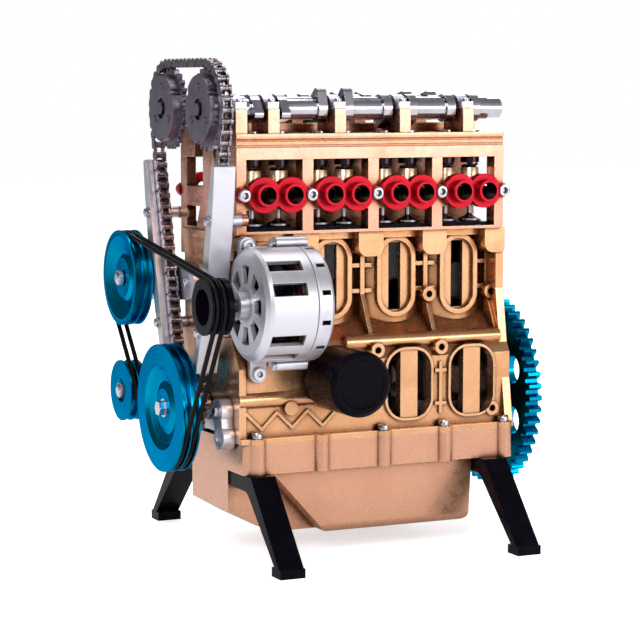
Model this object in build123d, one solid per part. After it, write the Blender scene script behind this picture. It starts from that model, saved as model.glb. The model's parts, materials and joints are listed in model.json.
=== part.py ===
from build123d import *
from math import acos, asin, atan2, ceil, cos, degrees, hypot, pi, radians, sin, sqrt, tan
import os

# Four stroke engine model, in millimetres
# X runs along the crankshaft, from the belt pulleys at -X to the flywheel at +X.
# The alternator and the exhaust ports are on the -Y side. Z is up from the floor under the feet.

# Engine layout
cylinder_count = 4
cylinder_pitch = 24.5
engine_middle_x = 3.0
crank_height = 49.7
parting_drop = 9.7
deck_gap = 3.7
cut_overrun = 1.0
running_gap = 0.06
press_gap = 0.02
end_gap = 0.3

# Crankshaft, connecting rods and pistons
crank_throw = 7.5
throw_turns_share = (0.0, 0.5, 0.5, 0.0)
main_journal_radius = 4.0
crank_pin_radius = 3.4
crank_pin_length = 8.6
web_thickness = 3.3
web_main_radius = 6.0
web_pin_radius = 5.2
counterweight_radius = 13.0
counterweight_half_angle = 58
crank_nose_radius = 3.2
rod_length = 43.3
rod_width = 8.0
rod_shank_width = 4.0
rod_shank_half_top = 1.9
rod_shank_half_bottom = 2.9
rod_recess_depth = 0.9
rod_recess_margin = 1.0
big_end_radius = 5.9
big_end_ear_reach = 7.0
big_end_ear_half = 2.3
small_end_radius = 3.1
small_end_width = 4.2
wrist_pin_radius = 1.6
wrist_pin_end_inset = 0.7
piston_radius = 7.0
piston_height = 10.0
piston_crown_thickness = 1.8
piston_skirt_wall = 1.2
wrist_pin_to_crown = 5.3
pin_boss_radius = 2.8
ring_groove_height = 0.5
ring_groove_depth = 0.4
ring_groove_pitch = 1.1
ring_groove_count = 3
first_ring_drop = 1.0
bore_gap = 0.4

# Main bearings
bearing_half_width = 4.05
cap_half_width = 8.5
cap_depth = 8.0
cap_foot_fillet = 2.2
cap_screw_offset = 6.4
cap_screw_radius = 0.9
cap_screw_head_radius = 1.5
cap_screw_head_height = 1.2
cap_screw_grip = 4.0

# Cylinder block
block_front_margin = 2.2
block_rear_margin = 3.2
barrel_radius = 17.5
barrel_foot_drop = 9.0
crankcase_half_width = 27.5
crankcase_wall = 3.0
shoulder_low_drop = 1.0
shoulder_mid_rise = 6.5
shoulder_mid_half_width = 23.5
shoulder_top_rise = 8.5
shoulder_top_half_width = 13.0
cavity_gap = 3.9
bore_foot_drop = 5.0
end_wall_inset = 4.4
lip_height = 1.8
lip_half_width = 30.5
front_plate_thickness = 2.5
front_plate_top_half_width = 20.0
front_plate_knee_low_drop = 1.0
front_plate_knee_top_drop = 3.0
front_plate_low_half_width = 28.3
rear_plate_thickness = 3.0
rear_plate_top_half_width = 22.5
rear_plate_knee_rise = 7.0
rear_plate_mid_half_width = 26.0
rear_plate_low_half_width = 30.3
deck_flange_height = 2.6
deck_flange_half_width = 19.0

# Windows in the block
window_width = 14.8
window_height = 28.2
window_middle_drop = 16.2
window_face = 18.3
window_rim = 1.6
window_recess_depth = 1.6
slot_width = 4.6
slot_end_margin = 0.8
low_window_width = 18.6
low_window_height = 25.4
low_window_middle_rise = 7.2
low_window_corner = 7.5
low_window_face = 28.6
low_window_rim = 0.9
low_window_bar = 6.6
low_window_bar_drop = 0.5

# Ribs, bosses and galleries on the block's sides
valley_depth = 11.5
valley_rib_width = 1.6
valley_rib_face = 16.6
valley_rib_top_drop = 7.5
valley_bar_half_length = 4.0
valley_bar_face = 16.2
valley_bar_half_height = 0.7
valley_bar_drops = (12.2, 21.0)
gusset_thickness = 1.4
gusset_rise = 6.5
gusset_foot_half_width = 24.2
shield_half_width = 4.7
shield_face = 23.4
shield_height = 8.7
shield_corner = 3.4
side_boss_radius = 2.5
side_boss_hole_radius = 1.2
side_boss_hole_depth = 6.0
high_boss_drop = 22.8
high_boss_face = 19.6
high_boss_columns = (3, 4)
mid_boss_drop = 2.7
mid_boss_face = 29.0
mid_boss_columns = (2, 3)
low_boss_rise = 6.6
low_boss_face = 29.0
low_boss_from_column = 4.3
gallery_radius = 2.6
gallery_drop = 0.7
gallery_offset = 24.4
gallery_length = 63.0
gallery_end_inset = 3.2
front_gallery_radius = 2.9
front_gallery_rise = 4.6
front_gallery_offset = 26.2
front_gallery_length = 33.0
front_boss_radius = 2.4
front_boss_face = 29.6
front_boss_from_front = 18.5
front_boss_drop = 3.0
zigzag_low_rise = 4.5
zigzag_rise = 5.5
zigzag_step = 5.6
zigzag_points = 7
zigzag_width = 1.0
zigzag_face = 28.3
zigzag_from_front = 2.6
low_rib_width = 1.2
low_rib_face = 28.4
low_rib_low_rise = 6.0
low_rib_length = 18.0
low_rib_bar_half_length = 2.2
low_rib_bar_rises = (15.0, 3.5)
low_rib_bar_half_height = 0.6

# Oil pan, legs and their fasteners
pan_flange_depth = 10.4
pan_half_width = 30.5
pan_wall = 2.0
pan_corner = 2.4
pan_end_inset = 0.8
pan_bolt_count = 5
pan_bolt_pitch = 23.5
pan_bolt_first_from_front = 5.8
pan_bolt_offset = 29.6
pan_boss_radius = 2.9
pan_bolt_head_radius = 1.9
pan_bolt_head_height = 1.8
pan_bolt_shank_radius = 1.0
pan_bolt_near_steps = (0, 2, 3, 4)
sump_half_width = 26.0
sump_bottom_height = 7.0
sump_front_top_from_front = 10.5
sump_front_bottom_from_front = 33.0
sump_rear_bottom_from_rear = 15.3
sump_rear_top_from_rear = 13.9
sump_fillet = 3.0
keel_half_width = 16.0
keel_front_rise = 8.6
keel_knee_from_front = 11.5
keel_knee_rise = 2.4
keel_flat_from_front = 23.5
keel_end_from_front = 42.0
leg_width = 8.85
leg_front_inset = 1.4
leg_rear_inset = 4.9
foot_outer = 58.5
foot_inner = 51.4
foot_height = 3.1
strap_outer_foot = 57.2
strap_inner_foot = 53.6
strap_outer_top = 34.4
strap_inner_top = 31.0
leg_arm_inner = 16.3
leg_arm_thickness = 5.2
leg_fillet = 5.0
leg_screw_offset = 24.0
leg_screw_head_radius = 1.9
leg_screw_head_height = 1.5
leg_screw_shank_radius = 1.0
battery_length = 40.0
battery_width = 26.0
battery_height = 13.0
battery_from_front = 42.0
battery_corner = 3.0

# Cylinder head
seat_plate_thickness = 2.2
base_frame_width = 2.9
base_frame_height = 1.0
head_half_width = 25.0
head_end_margin = 1.5
valve_bay_height = 10.2
rail_gap = 5.9
rail_height = 6.6
rail_inner = 10.5
head_bar_half_width = 2.0
pillar_depth = 5.5
guide_radius = 3.2
guide_proud = 4.3
port_drop = 1.5
port_half_spacing = 4.9
port_depth = 5.0
spine_half_width = 4.5
spine_post_depth = 4.4
spine_post_brace = 12.0
spine_post_foot_half_width = 11.0
gallery_rise = 3.0
plug_well_radius = 2.6
plug_well_depth = 5.0

# Port stubs
port_plate_thickness = 2.2
port_flange_radius = 5.95
port_flange_extra = 1.0
port_stub_radius = 3.8
port_bore_radius = 2.85
port_stub_length = 6.2
port_tab_half_height = 1.7
port_tab_radius = 2.5
port_screw_head_radius = 2.1
port_screw_head_height = 1.9
port_screw_shank_radius = 1.1
port_screw_length = 5.0
socket_radius_share = 0.5
socket_depth_share = 0.6

# Valves and springs
valve_stem_radius = 0.9
valve_head_radius = 4.0
valve_head_edge = 0.6
valve_head_tulip = 1.8
valve_head_lift = 0.35
retainer_radius = 3.3
retainer_height = 1.4
retainer_drop = 2.2
stem_guide_gap = 0.15
tappet_radius = 3.3
tappet_gap = 0.35
spring_radius = 2.55
spring_wire_radius = 0.45
spring_turns = 2
spring_seat_gap = 0.05

# Cam carrier, camshafts and caps
carrier_depth = 8.5
carrier_rail_inner = 12.0
carrier_bar_half_width = 2.05
carrier_groove_height = 1.0
carrier_groove_depth = 0.5
carrier_groove_drop = 1.6
carrier_groove_pitch = 2.0
carrier_corner = 0.8
cam_rise = 8.2
cam_half_spacing = 16.9
tower_half_width = 2.05
tower_inner = 10.4
tower_outer = 24.6
front_tower_inset = 2.05
cam_journal_radius = 2.6
cam_barrel_radius = 3.9
cam_end_radius = 3.5
cam_end_reach = 2.0
lobe_width = 3.2
lobe_base_radius = 4.8
lobe_nose_radius = 1.9
lobe_nose_reach = 7.2
exhaust_lobe_turns_share = (0.30, 0.05, 0.55, 0.80)
intake_lobe_turns_share = (0.62, 0.37, 0.87, 0.12)
cap_ring_radius = 4.7
cap_ear_half_width = 7.3
cap_ear_height = 2.4
cam_cap_screw_offset = 5.7
cam_cap_screw_head_radius = 1.3
cam_cap_screw_head_height = 1.1
cam_cap_screw_shank_radius = 0.7
cam_cap_screw_length = 7.0

# Timing chain, sprockets and guides
chain_front_gap = 5.8
chain_nominal_pitch = 3.7
chain_inner_width = 2.2
chain_plate_thickness = 0.45
chain_plate_radius = 1.55
chain_plate_waist = 1.15
chain_roller_radius = 1.1
chain_pin_radius = 0.5
chain_pin_gap = 0.05
chain_search_shares = (0.9, 1.2)
chain_search_steps = 40
cam_sprocket_teeth = 26
crank_sprocket_teeth = 13
sprocket_thickness = 1.8
sprocket_tooth_height = 1.5
sprocket_roller_gap = 0.2
sprocket_root_share = 0.36
sprocket_tip_share = 0.14
phaser_radius = 11.34
phaser_thickness = 3.0
phaser_recess_radius = 3.6
phaser_recess_depth = 1.0
phaser_screw_count = 3
phaser_screw_circle = 7.4
phaser_screw_radius = 1.25
phaser_screw_proud = 0.5
phaser_notch_radius = 1.3
phaser_bolt_radius = 2.3
phaser_bolt_height = 1.6
cam_flange_radius = 5.5
cam_flange_thickness = 1.5
crank_hub_radius = 5.0
guide_front_reach = 4.6
guide_rear_reach = 3.0
guide_chain_gap = 0.2
guide_end_thickness = 2.6
guide_bow = 2.6
guide_start_share = 0.14
guide_end_share = 0.84
guide_screw_shares = (0.32, 0.70)
guide_lug_radius = 2.0
guide_screw_inset = 2.25
guide_lug_overlap = 2.8
guide_ear_root = 20.0
guide_screw_radius = 1.1
guide_screw_head_radius = 1.8
guide_screw_head_height = 1.4

# Belt drive
pulley_front_gap = 17.3
pulley_thickness = 6.4
groove_first = 1.8
groove_pitch = 2.8
groove_half_bottom = 0.95
groove_half_top = 1.15
belt_radius = 0.8
belt_inset = 0.9
belt_gap = 0.12
crank_pulley_radius = 21.8
water_pulley_radius = 16.8
water_pulley_y = 39.2
water_pulley_rise = 41.5
idler_radius = 10.8
idler_y = 39.0
idler_rise = 1.3
alternator_y = -38.8
alternator_rise = 37.9
alternator_pulley_radius = 9.3
alternator_pulley_length = 7.7
alternator_pulley_wall = 1.5
alternator_pulley_cup_depth = 5.6
pulley_dish_depth = 2.2
crank_pulley_face_shares = (0.66, 0.60, 0.42, 0.30)
water_pulley_face_shares = (0.88, 0.50, 0.42)
idler_face_shares = (0.40, 0.34)
pulley_bolt_radius = 2.6
pulley_bolt_height = 2.1
stud_proud = 0.7
stud_radius = 1.8

# Water pump and idler carriers
pump_body_radius = 8.0
pump_body_front_gap = 0.6
pump_fin_count = 10
pump_fin_depth = 0.8
carrier_arm_thickness = 2.8
carrier_arm_radius = 6.0
carrier_arm_foot_y = 10.5
idler_boss_radius = 4.2
idler_arm_foot_y = 22.5
idler_arm_foot_drop = 4.0

# Alternator
alternator_radius = 19.0
alternator_front_gap = 2.2
alternator_front_length = 17.6
alternator_rear_length = 6.2
alternator_wall = 1.6
alternator_face_radius = 16.4
alternator_shoulder = 2.2
alternator_shaft_radius = 2.0
alternator_boss_radius = 4.6
alternator_boss_length = 3.4
alternator_side_slots_angles = (46, 19.5, -34, -60.5, 120, 146.5, 173, 199.5)
alternator_side_slot_length = 12.0
alternator_side_slot_half_angle = 6.5
alternator_face_slots = 8
alternator_face_slot_inner = 7.2
alternator_face_slot_outer = 13.0
alternator_face_slot_half_angle = 14
alternator_rear_slots = 12
alternator_rear_slot_width = 1.6
alternator_rear_slot_length = 3.0
alternator_seam_groove = 0.5
stator_outer_gap = 0.1
stator_inner_radius = 13.0
stator_length = 9.0
rotor_radius = 12.4
rotor_length = 10.0
rotor_claws = 6
rotor_claw_gap = 1.4
rotor_fan_radius = 13.0
rotor_fan_thickness = 1.2
rotor_fan_blades = 8
rotor_fan_blade_height = 2.2
rotor_fan_blade_half_angle = 4
alternator_lug_radius = 1.9
alternator_lug_offset = 20.2
alternator_lug_front_inset = 10.4
alternator_lug_rear_inset = 4.4
alternator_lug_bolt_radius = 1.1
ear_outer_y = -31.0
ear_inner_y = -28.6
ear_radius = 2.9
ear_hole_radius = 1.2
top_ear_rise = 21.7
low_ear_drop = 23.9
low_ear_inset = 5.8
ear_root_drop = 7.5
ear_screw_head_radius = 2.1
ear_screw_head_height = 1.4

# Oil filter and oil pump cover
filter_from_front = 33.8
filter_rise = 11.3
filter_radius = 11.0
filter_end = 52.0
filter_base = 29.6
filter_seat_radius = 8.0
filter_corner = 1.4
filter_step = 0.5
oil_pump_low_y = -20.5
oil_pump_low_drop = 8.1
oil_pump_high_y = -19.0
oil_pump_high_rise = 0.5
oil_pump_radius = 4.3
oil_pump_thickness = 4.2
oil_pump_neck_radius = 3.3
oil_pump_pocket_radius = 2.9
oil_pump_pocket_depth = 0.8

# Flywheel and starter
flywheel_front_gap = 4.4
flywheel_thickness = 5.0
flywheel_teeth = 50
gear_module = 1.33
gear_pressure_angle = 20
gear_addendum_share = 0.85
gear_dedendum_share = 1.15
gear_backlash = 0.25
flywheel_hole_count = 8
flywheel_hole_radius = 5.0
flywheel_hole_circle = 23.6
flywheel_web_recess = 1.3
flywheel_web_inner = 12.0
flywheel_rim_inner = 29.4
flywheel_boss_radius = 8.5
flywheel_boss_proud = 0.8
flywheel_screw_count = 4
flywheel_screw_circle = 5.4
flywheel_screw_radius = 1.0
flywheel_screw_head_radius = 1.5
flywheel_screw_head_height = 1.1
crank_flange_radius = 8.0
starter_teeth = 12
starter_angle = 20
starter_mesh_gap = 0.15
starter_motor_radius = 7.4
starter_motor_length = 30.0
starter_motor_corner = 1.2
starter_nose_radius = 4.4
starter_nose_gap = 0.1
starter_shaft_radius = 1.5
starter_flange_radius = 8.6
starter_tail_radius = 3.0
starter_tail_length = 2.0

# Places along the engine
cylinder_x = [engine_middle_x + (i - (cylinder_count - 1) / 2) * cylinder_pitch
              for i in range(cylinder_count)]
column_x = [engine_middle_x + (k - cylinder_count / 2) * cylinder_pitch for k in range(cylinder_count + 1)]
block_front_x = column_x[0] - block_front_margin
block_rear_x = column_x[-1] + block_rear_margin
head_front_x = column_x[0] - head_end_margin
head_rear_x = column_x[-1] + head_end_margin
tower_x = [head_front_x + front_tower_inset] + cylinder_x
pan_front_x = block_front_x + pan_end_inset
pan_rear_x = block_rear_x - pan_end_inset
pan_bolt_x = [block_front_x + pan_bolt_first_from_front + k * pan_bolt_pitch for k in range(pan_bolt_count)]
valve_x_offsets = (-port_half_spacing, port_half_spacing)
chain_x = block_front_x - chain_front_gap
guide_front_x = chain_x - guide_front_reach
guide_rear_x = chain_x + guide_rear_reach
pulley_front_x = block_front_x - pulley_front_gap
groove_x = [pulley_front_x + groove_first + k * groove_pitch for k in range(2)]
alternator_front_x = block_front_x - alternator_front_gap
alternator_seam_x = alternator_front_x + alternator_front_length
alternator_rear_x = alternator_seam_x + alternator_rear_length
low_ear_x = block_front_x + low_ear_inset
filter_x = block_front_x + filter_from_front
flywheel_front_x = block_rear_x + flywheel_front_gap

# Heights of the block and the pan
parting_height = crank_height - parting_drop
deck_height = crank_height + crank_throw + rod_length + wrist_pin_to_crown + deck_gap
cavity_top_height = crank_height + crank_throw + big_end_radius + cavity_gap
bore_foot_height = cavity_top_height - bore_foot_drop
shoulder_low_height = cavity_top_height - shoulder_low_drop
shoulder_mid_height = shoulder_low_height + shoulder_mid_rise
shoulder_top_height = shoulder_mid_height + shoulder_top_rise
barrel_foot_height = shoulder_top_height - barrel_foot_drop
front_plate_knee_low_height = shoulder_low_height - front_plate_knee_low_drop
front_plate_knee_top_height = shoulder_top_height - front_plate_knee_top_drop
rear_plate_mid_height = shoulder_low_height
rear_plate_knee_height = shoulder_top_height + rear_plate_knee_rise
window_middle_height = deck_height - window_middle_drop
low_window_middle_height = crank_height + low_window_middle_rise
valley_rib_top_height = deck_height - valley_rib_top_drop
valley_bar_heights = [deck_height - drop for drop in valley_bar_drops]
gusset_top_height = shoulder_top_height + gusset_rise
shield_foot_height = deck_height - shield_height
high_boss_height = deck_height - high_boss_drop
gallery_height = shoulder_mid_height - gallery_drop
mid_boss_height = gallery_height - mid_boss_drop
low_boss_height = parting_height + low_boss_rise
front_gallery_height = crank_height + front_gallery_rise
front_boss_height = front_gallery_height - front_boss_drop
zigzag_low_height = parting_height + zigzag_low_rise
zigzag_high_height = zigzag_low_height + zigzag_rise
low_rib_low_height = parting_height + low_rib_low_rise
low_rib_high_height = low_rib_low_height + low_rib_length
low_rib_bar_heights = [low_rib_low_height + rise for rise in low_rib_bar_rises]
lip_top = parting_height + lip_height
pan_flange_low = parting_height - pan_flange_depth
keel_front_height = sump_bottom_height + keel_front_rise
keel_knee_height = sump_bottom_height + keel_knee_rise

# Heights of the head and the valve gear
seat_plate_top = deck_height + seat_plate_thickness
rail_low_height = seat_plate_top + rail_gap
rail_top_height = rail_low_height + rail_height
head_top_height = rail_top_height + valve_bay_height
guide_top_height = rail_top_height + guide_proud
port_height = rail_top_height - port_drop
retainer_low_height = head_top_height - retainer_drop
carrier_top = head_top_height + carrier_depth
cam_height = carrier_top + cam_rise
tappet_top = cam_height - lobe_nose_reach - tappet_gap

# Places of what is driven and what is bolted on
water_pulley_z = crank_height + water_pulley_rise
idler_z = crank_height + idler_rise
idler_arm_foot_z = idler_z - idler_arm_foot_drop
alternator_z = crank_height + alternator_rise
top_ear_z = alternator_z + top_ear_rise
low_ear_z = alternator_z - low_ear_drop
filter_z = crank_height + filter_rise
oil_pump_low_z = crank_height - oil_pump_low_drop
oil_pump_high_z = crank_height + oil_pump_high_rise
cam_pitch_radius = chain_nominal_pitch / (2 * sin(pi / cam_sprocket_teeth))
crank_pitch_radius = chain_nominal_pitch / (2 * sin(pi / crank_sprocket_teeth))
chain_half_width = chain_inner_width / 2 + 2 * chain_plate_thickness
flywheel_pitch_radius = gear_module * flywheel_teeth / 2
starter_pitch_radius = gear_module * starter_teeth / 2
starter_distance = flywheel_pitch_radius + starter_pitch_radius + starter_mesh_gap
starter_y = starter_distance * cos(radians(starter_angle))
starter_z = crank_height + starter_distance * sin(radians(starter_angle))
port_plate_face = head_half_width + port_plate_thickness


# Solids from limits and outlines

def box_between(x, y, z):
    """Box between three pairs of limits."""
    sides = [max(pair) - min(pair) for pair in (x, y, z)]
    return Pos(sum(x) / 2, sum(y) / 2, sum(z) / 2) * Box(*sides)


def along_x(radius, x, y, z):
    """Round bar along X."""
    return Pos(sum(x) / 2, y, z) * Rot(0, 90, 0) * Cylinder(radius, max(x) - min(x))


def along_y(radius, x, y, z):
    """Round bar along Y."""
    return Pos(x, sum(y) / 2, z) * Rot(90, 0, 0) * Cylinder(radius, max(y) - min(y))


def along_z(radius, x, y, z):
    """Round bar along Z."""
    return Pos(x, y, sum(z) / 2) * Cylinder(radius, max(z) - min(z))


def section_x(outline, low, high):
    """Outline drawn in (Y, Z), made solid between two X limits."""
    return extrude(Plane.YZ.offset(low) * outline, high - low, dir=(1, 0, 0))


def section_y(outline, low, high):
    """Outline drawn in (X, Z), made solid between two Y limits."""
    return extrude(Plane.XZ.offset(-high) * outline, high - low, dir=(0, -1, 0))


def section_z(outline, low, high):
    """Outline drawn in (X, Y), made solid between two Z limits."""
    return extrude(Plane.XY.offset(low) * outline, high - low, dir=(0, 0, 1))


def turned_x(points, y, z):
    """Profile of (X, radius) points, turned about an axis along X."""
    return Pos(0, y, z) * revolve(Plane.XZ * Polygon(*points, align=None), axis=Axis.X)


def turned_z(points, x, y):
    """Profile of (radius, Z) points, turned about an upright axis."""
    return Pos(x, y, 0) * revolve(Plane.XZ * Polygon(*points, align=None), axis=Axis.Z)


def turned_y(points, x, z):
    """Profile of (radius, Y) points, turned about an axis along Y."""
    return Pos(x, 0, z) * revolve(Plane.XY * Polygon(*points, align=None), axis=Axis.Y)


def tapered_link(start, start_radius, end, end_radius):
    """Two round ends joined by their outer tangents."""
    run = atan2(end[1] - start[1], end[0] - start[0])
    lean = acos((start_radius - end_radius) / hypot(end[0] - start[0], end[1] - start[1]))

    def point(centre, radius, angle):
        return centre[0] + radius * cos(angle), centre[1] + radius * sin(angle)

    left = point(start, start_radius, run + lean), point(end, end_radius, run + lean)
    right = point(end, end_radius, run - lean), point(start, start_radius, run - lean)
    edges = [Line(*left), ThreePointArc(left[1], point(end, end_radius, run), right[0]), Line(*right)]
    edges.append(ThreePointArc(right[1], point(start, start_radius, run + pi), left[0]))
    return make_face(Wire([edge.edge() for edge in edges]))


def both_sides(solid):
    """The solid and its mirror image across the crankshaft's plane."""
    return [solid, mirror(solid, Plane.XZ)]


def joined(first, others):
    """One solid from a first solid and a list of others."""
    return first + [solid for other in others for solid in other.solids()]


def cut(solid, tools):
    """The solid with all tools taken out."""
    return solid - [piece for tool in tools for piece in tool.solids()]


def socket_screw_y(x, face, side, z, head_radius, head_height, shank_radius, length):
    """Socket head screw whose head stands on a face at side * face and points away from the engine."""
    socket = head_radius * socket_radius_share
    floor = head_height * (1 - socket_depth_share)
    points = [(0, -length), (shank_radius, -length), (shank_radius, 0), (head_radius, 0),
              (head_radius, head_height), (socket, head_height), (socket, floor), (0, floor)]
    screw = turned_y(points, 0, 0)
    return Pos(x, side * face, z) * (screw if side > 0 else Rot(0, 0, 180) * screw)


def screw_z(x, y, seat, head_radius, head_height, shank_radius, length):
    """Socket head screw with its head up, standing on a level seat."""
    socket = head_radius * socket_radius_share
    floor = seat + head_height * (1 - socket_depth_share)
    points = [(0, seat - length), (shank_radius, seat - length), (shank_radius, seat), (head_radius, seat),
              (head_radius, seat + head_height), (socket, seat + head_height), (socket, floor), (0, floor)]
    return turned_z(points, x, y)


def hex_bolt_x(front, y, z, radius, height, shank_radius, length):
    """Hexagon head bolt pointing forward, with its head's back face at the given X plus its height."""
    head = section_x(Pos(y, z) * RegularPolygon(radius, 6), front, front + height)
    return head + along_x(shank_radius, (front + height - press_gap, front + height + length), y, z)


# Loops of belts and chains, in the (Y, Z) plane

def loop_runs(wheels):
    """Straight runs of a loop about wheels (y, z, radius, turn), turn 1 to the left and -1 to the right."""
    runs = []
    for here, there in zip(wheels, wheels[1:] + wheels[:1]):
        span = hypot(there[0] - here[0], there[1] - here[1])
        bearing = atan2(there[1] - here[1], there[0] - here[0])
        heading = bearing - asin((there[2] * there[3] - here[2] * here[3]) / span)
        normal = (-sin(heading), cos(heading))
        leave = [here[axis] - here[2] * here[3] * normal[axis] for axis in range(2)]
        arrive = [there[axis] - there[2] * there[3] * normal[axis] for axis in range(2)]
        runs.append((leave, arrive, heading))
    return runs


def loop_pieces(wheels):
    """The loop as pieces: each arc about a wheel, then the straight run that leaves it."""
    runs = loop_runs(wheels)
    pieces = []
    for index, wheel in enumerate(wheels):
        turn = (runs[index][2] - runs[index - 1][2]) * wheel[3] % (2 * pi)
        start = runs[index - 1][2] - wheel[3] * pi / 2
        pieces.append(("arc", wheel, start, turn * wheel[3], wheel[2] * turn))
        leave, arrive, heading = runs[index]
        pieces.append(("line", leave, arrive, heading, hypot(arrive[0] - leave[0], arrive[1] - leave[1])))
    return pieces


def point_on_piece(piece, share):
    """Point at a share of a piece's length."""
    if piece[0] == "arc":
        wheel, start, turn = piece[1:4]
        angle = start + turn * share
        return wheel[0] + wheel[2] * cos(angle), wheel[1] + wheel[2] * sin(angle)
    return tuple(a + (b - a) * share for a, b in zip(piece[1], piece[2]))


def loop_point(pieces, distance):
    """Point at a distance along the whole loop."""
    total = sum(piece[4] for piece in pieces)
    distance = distance % total
    for piece in pieces:
        if distance <= piece[4]:
            return point_on_piece(piece, distance / piece[4])
        distance -= piece[4]
    return point_on_piece(pieces[-1], 1)


def chain_points(pieces):
    """Pin centres of a chain that closes on the loop, and its exact pitch."""
    total = sum(piece[4] for piece in pieces)
    count = 2 * round(total / chain_nominal_pitch / 2)

    def march(pitch):
        places = [0.0]
        for _ in range(count):
            here = loop_point(pieces, places[-1])
            low, high = (pitch * share for share in chain_search_shares)
            for _ in range(chain_search_steps):
                middle = (low + high) / 2
                there = loop_point(pieces, places[-1] + middle)
                if hypot(there[0] - here[0], there[1] - here[1]) < pitch:
                    low = middle
                else:
                    high = middle
            places.append(places[-1] + (low + high) / 2)
        return places

    short, long = (chain_nominal_pitch * share for share in chain_search_shares)
    for _ in range(chain_search_steps):
        pitch = (short + long) / 2
        if march(pitch)[-1] < total:
            short = pitch
        else:
            long = pitch
    return [loop_point(pieces, place) for place in march(pitch)[:-1]], pitch


def loop_wire(pieces, x):
    """The loop as a closed wire at one X."""
    edges = []
    for piece in pieces:
        ends = [(x, *point_on_piece(piece, share)) for share in (0, 0.5, 1)]
        edges.append(ThreePointArc(*ends).edge() if piece[0] == "arc" else Line(ends[0], ends[2]).edge())
    return Wire(edges)


belt_wheels = [(0, crank_height, crank_pulley_radius - belt_inset, 1),
               (idler_y, idler_z, idler_radius - belt_inset, -1),
               (water_pulley_y, water_pulley_z, water_pulley_radius - belt_inset, 1),
               (alternator_y, alternator_z, alternator_pulley_radius - belt_inset, 1)]
chain_wheels = [(0, crank_height, crank_pitch_radius, 1),
                (cam_half_spacing, cam_height, cam_pitch_radius, 1),
                (-cam_half_spacing, cam_height, cam_pitch_radius, 1)]


# Cylinder block

def block_half_outline():
    """Half of the crankcase's section, from the parting face up to the barrels."""
    return [(crankcase_half_width, parting_height), (crankcase_half_width, shoulder_low_height),
            (shoulder_mid_half_width, shoulder_mid_height), (shoulder_top_half_width, shoulder_top_height)]


def full_outline(half):
    """Closed outline from the points of its +Y half."""
    return Polygon(*half, *[(-y, z) for y, z in reversed(half)], align=None)


def upper_window(x):
    """Raised oval frame of a cylinder window, on the -Y side."""
    frame = Pos(x, window_middle_height) * SlotOverall(window_height, window_width, rotation=90)
    return section_y(frame, -window_face, -shoulder_top_half_width)


def upper_window_cuts(x, side):
    """Recess and slot of a cylinder window."""
    rim = 2 * window_rim
    recess = Pos(x, window_middle_height) * SlotOverall(window_height - rim, window_width - rim, rotation=90)
    slot = Rectangle(slot_width, window_height - rim - 2 * slot_end_margin)
    outside = side * (window_face + cut_overrun)
    recess_limits = sorted([side * (window_face - window_recess_depth), outside])
    place = Pos(x, window_middle_height)
    return [section_y(recess, *recess_limits), section_y(place * slot, *sorted([0, outside]))]


def lower_window(x):
    """Raised frame of a crankcase window, on the -Y side."""
    frame = RectangleRounded(low_window_width, low_window_height, low_window_corner)
    inner_face = crankcase_half_width - crankcase_wall
    return section_y(Pos(x, low_window_middle_height) * frame, -low_window_face, -inner_face)


def lower_window_cuts(x, side):
    """Two tall slots either side of a bar, and the bar's slightly sunk face."""
    rim = 2 * low_window_rim
    inner = RectangleRounded(low_window_width - rim, low_window_height - rim,
                             low_window_corner - low_window_rim)
    bar = Rectangle(low_window_bar, low_window_height)
    place = Pos(x, low_window_middle_height)
    inner_face = crankcase_half_width - crankcase_wall - cut_overrun
    limits = sorted([side * inner_face, side * (low_window_face + cut_overrun)])
    sunk = sorted([side * (low_window_face - low_window_bar_drop), side * (low_window_face + cut_overrun)])
    return [section_y(place * (inner - bar), *limits), section_y(place * inner, *sunk)]


def boss_y(x, z, face, root, radius):
    """Round boss on the -Y side, from a root inside the wall to its face."""
    return along_y(radius, x, (-face, -root), z)


def column_ribs(x):
    """Rib, cross bars, gusset and head boss in the valley between two barrels, on the -Y side."""
    rib = box_between((x - valley_rib_width / 2, x + valley_rib_width / 2), (-valley_rib_face, -valley_depth),
                      (shoulder_top_height - lip_height, valley_rib_top_height))
    pieces = [rib]
    for height in valley_bar_heights:
        pieces.append(box_between((x - valley_bar_half_length, x + valley_bar_half_length),
                                  (-valley_bar_face, -valley_depth),
                                  (height - valley_bar_half_height, height + valley_bar_half_height)))
    gusset = Polygon((-valley_depth, gusset_top_height), (-valley_depth, shoulder_low_height),
                     (-gusset_foot_half_width, shoulder_low_height),
                     (-gusset_foot_half_width, shoulder_mid_height),
                     (-valley_rib_face, gusset_top_height), align=None)
    pieces.append(section_x(gusset, x - gusset_thickness / 2, x + gusset_thickness / 2))
    shield = RectangleRounded(2 * shield_half_width, 2 * shield_height, shield_corner)
    shield_solid = section_y(Pos(x, deck_height) * shield, -shield_face, -valley_depth)
    pieces.append(shield_solid & box_between((x - shield_half_width, x + shield_half_width),
                                             (-shield_face, 0), (shield_foot_height, deck_height)))
    return pieces


def lower_column_rib(x):
    """Short rib with two bars between crankcase windows, on the -Y side."""
    root = crankcase_half_width - crankcase_wall
    pieces = [box_between((x - low_rib_width / 2, x + low_rib_width / 2), (-low_rib_face, -root),
                          (low_rib_low_height, low_rib_high_height))]
    for height in low_rib_bar_heights:
        pieces.append(box_between((x - low_rib_bar_half_length, x + low_rib_bar_half_length),
                                  (-low_rib_face, -root),
                                  (height - low_rib_bar_half_height, height + low_rib_bar_half_height)))
    return pieces


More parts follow.
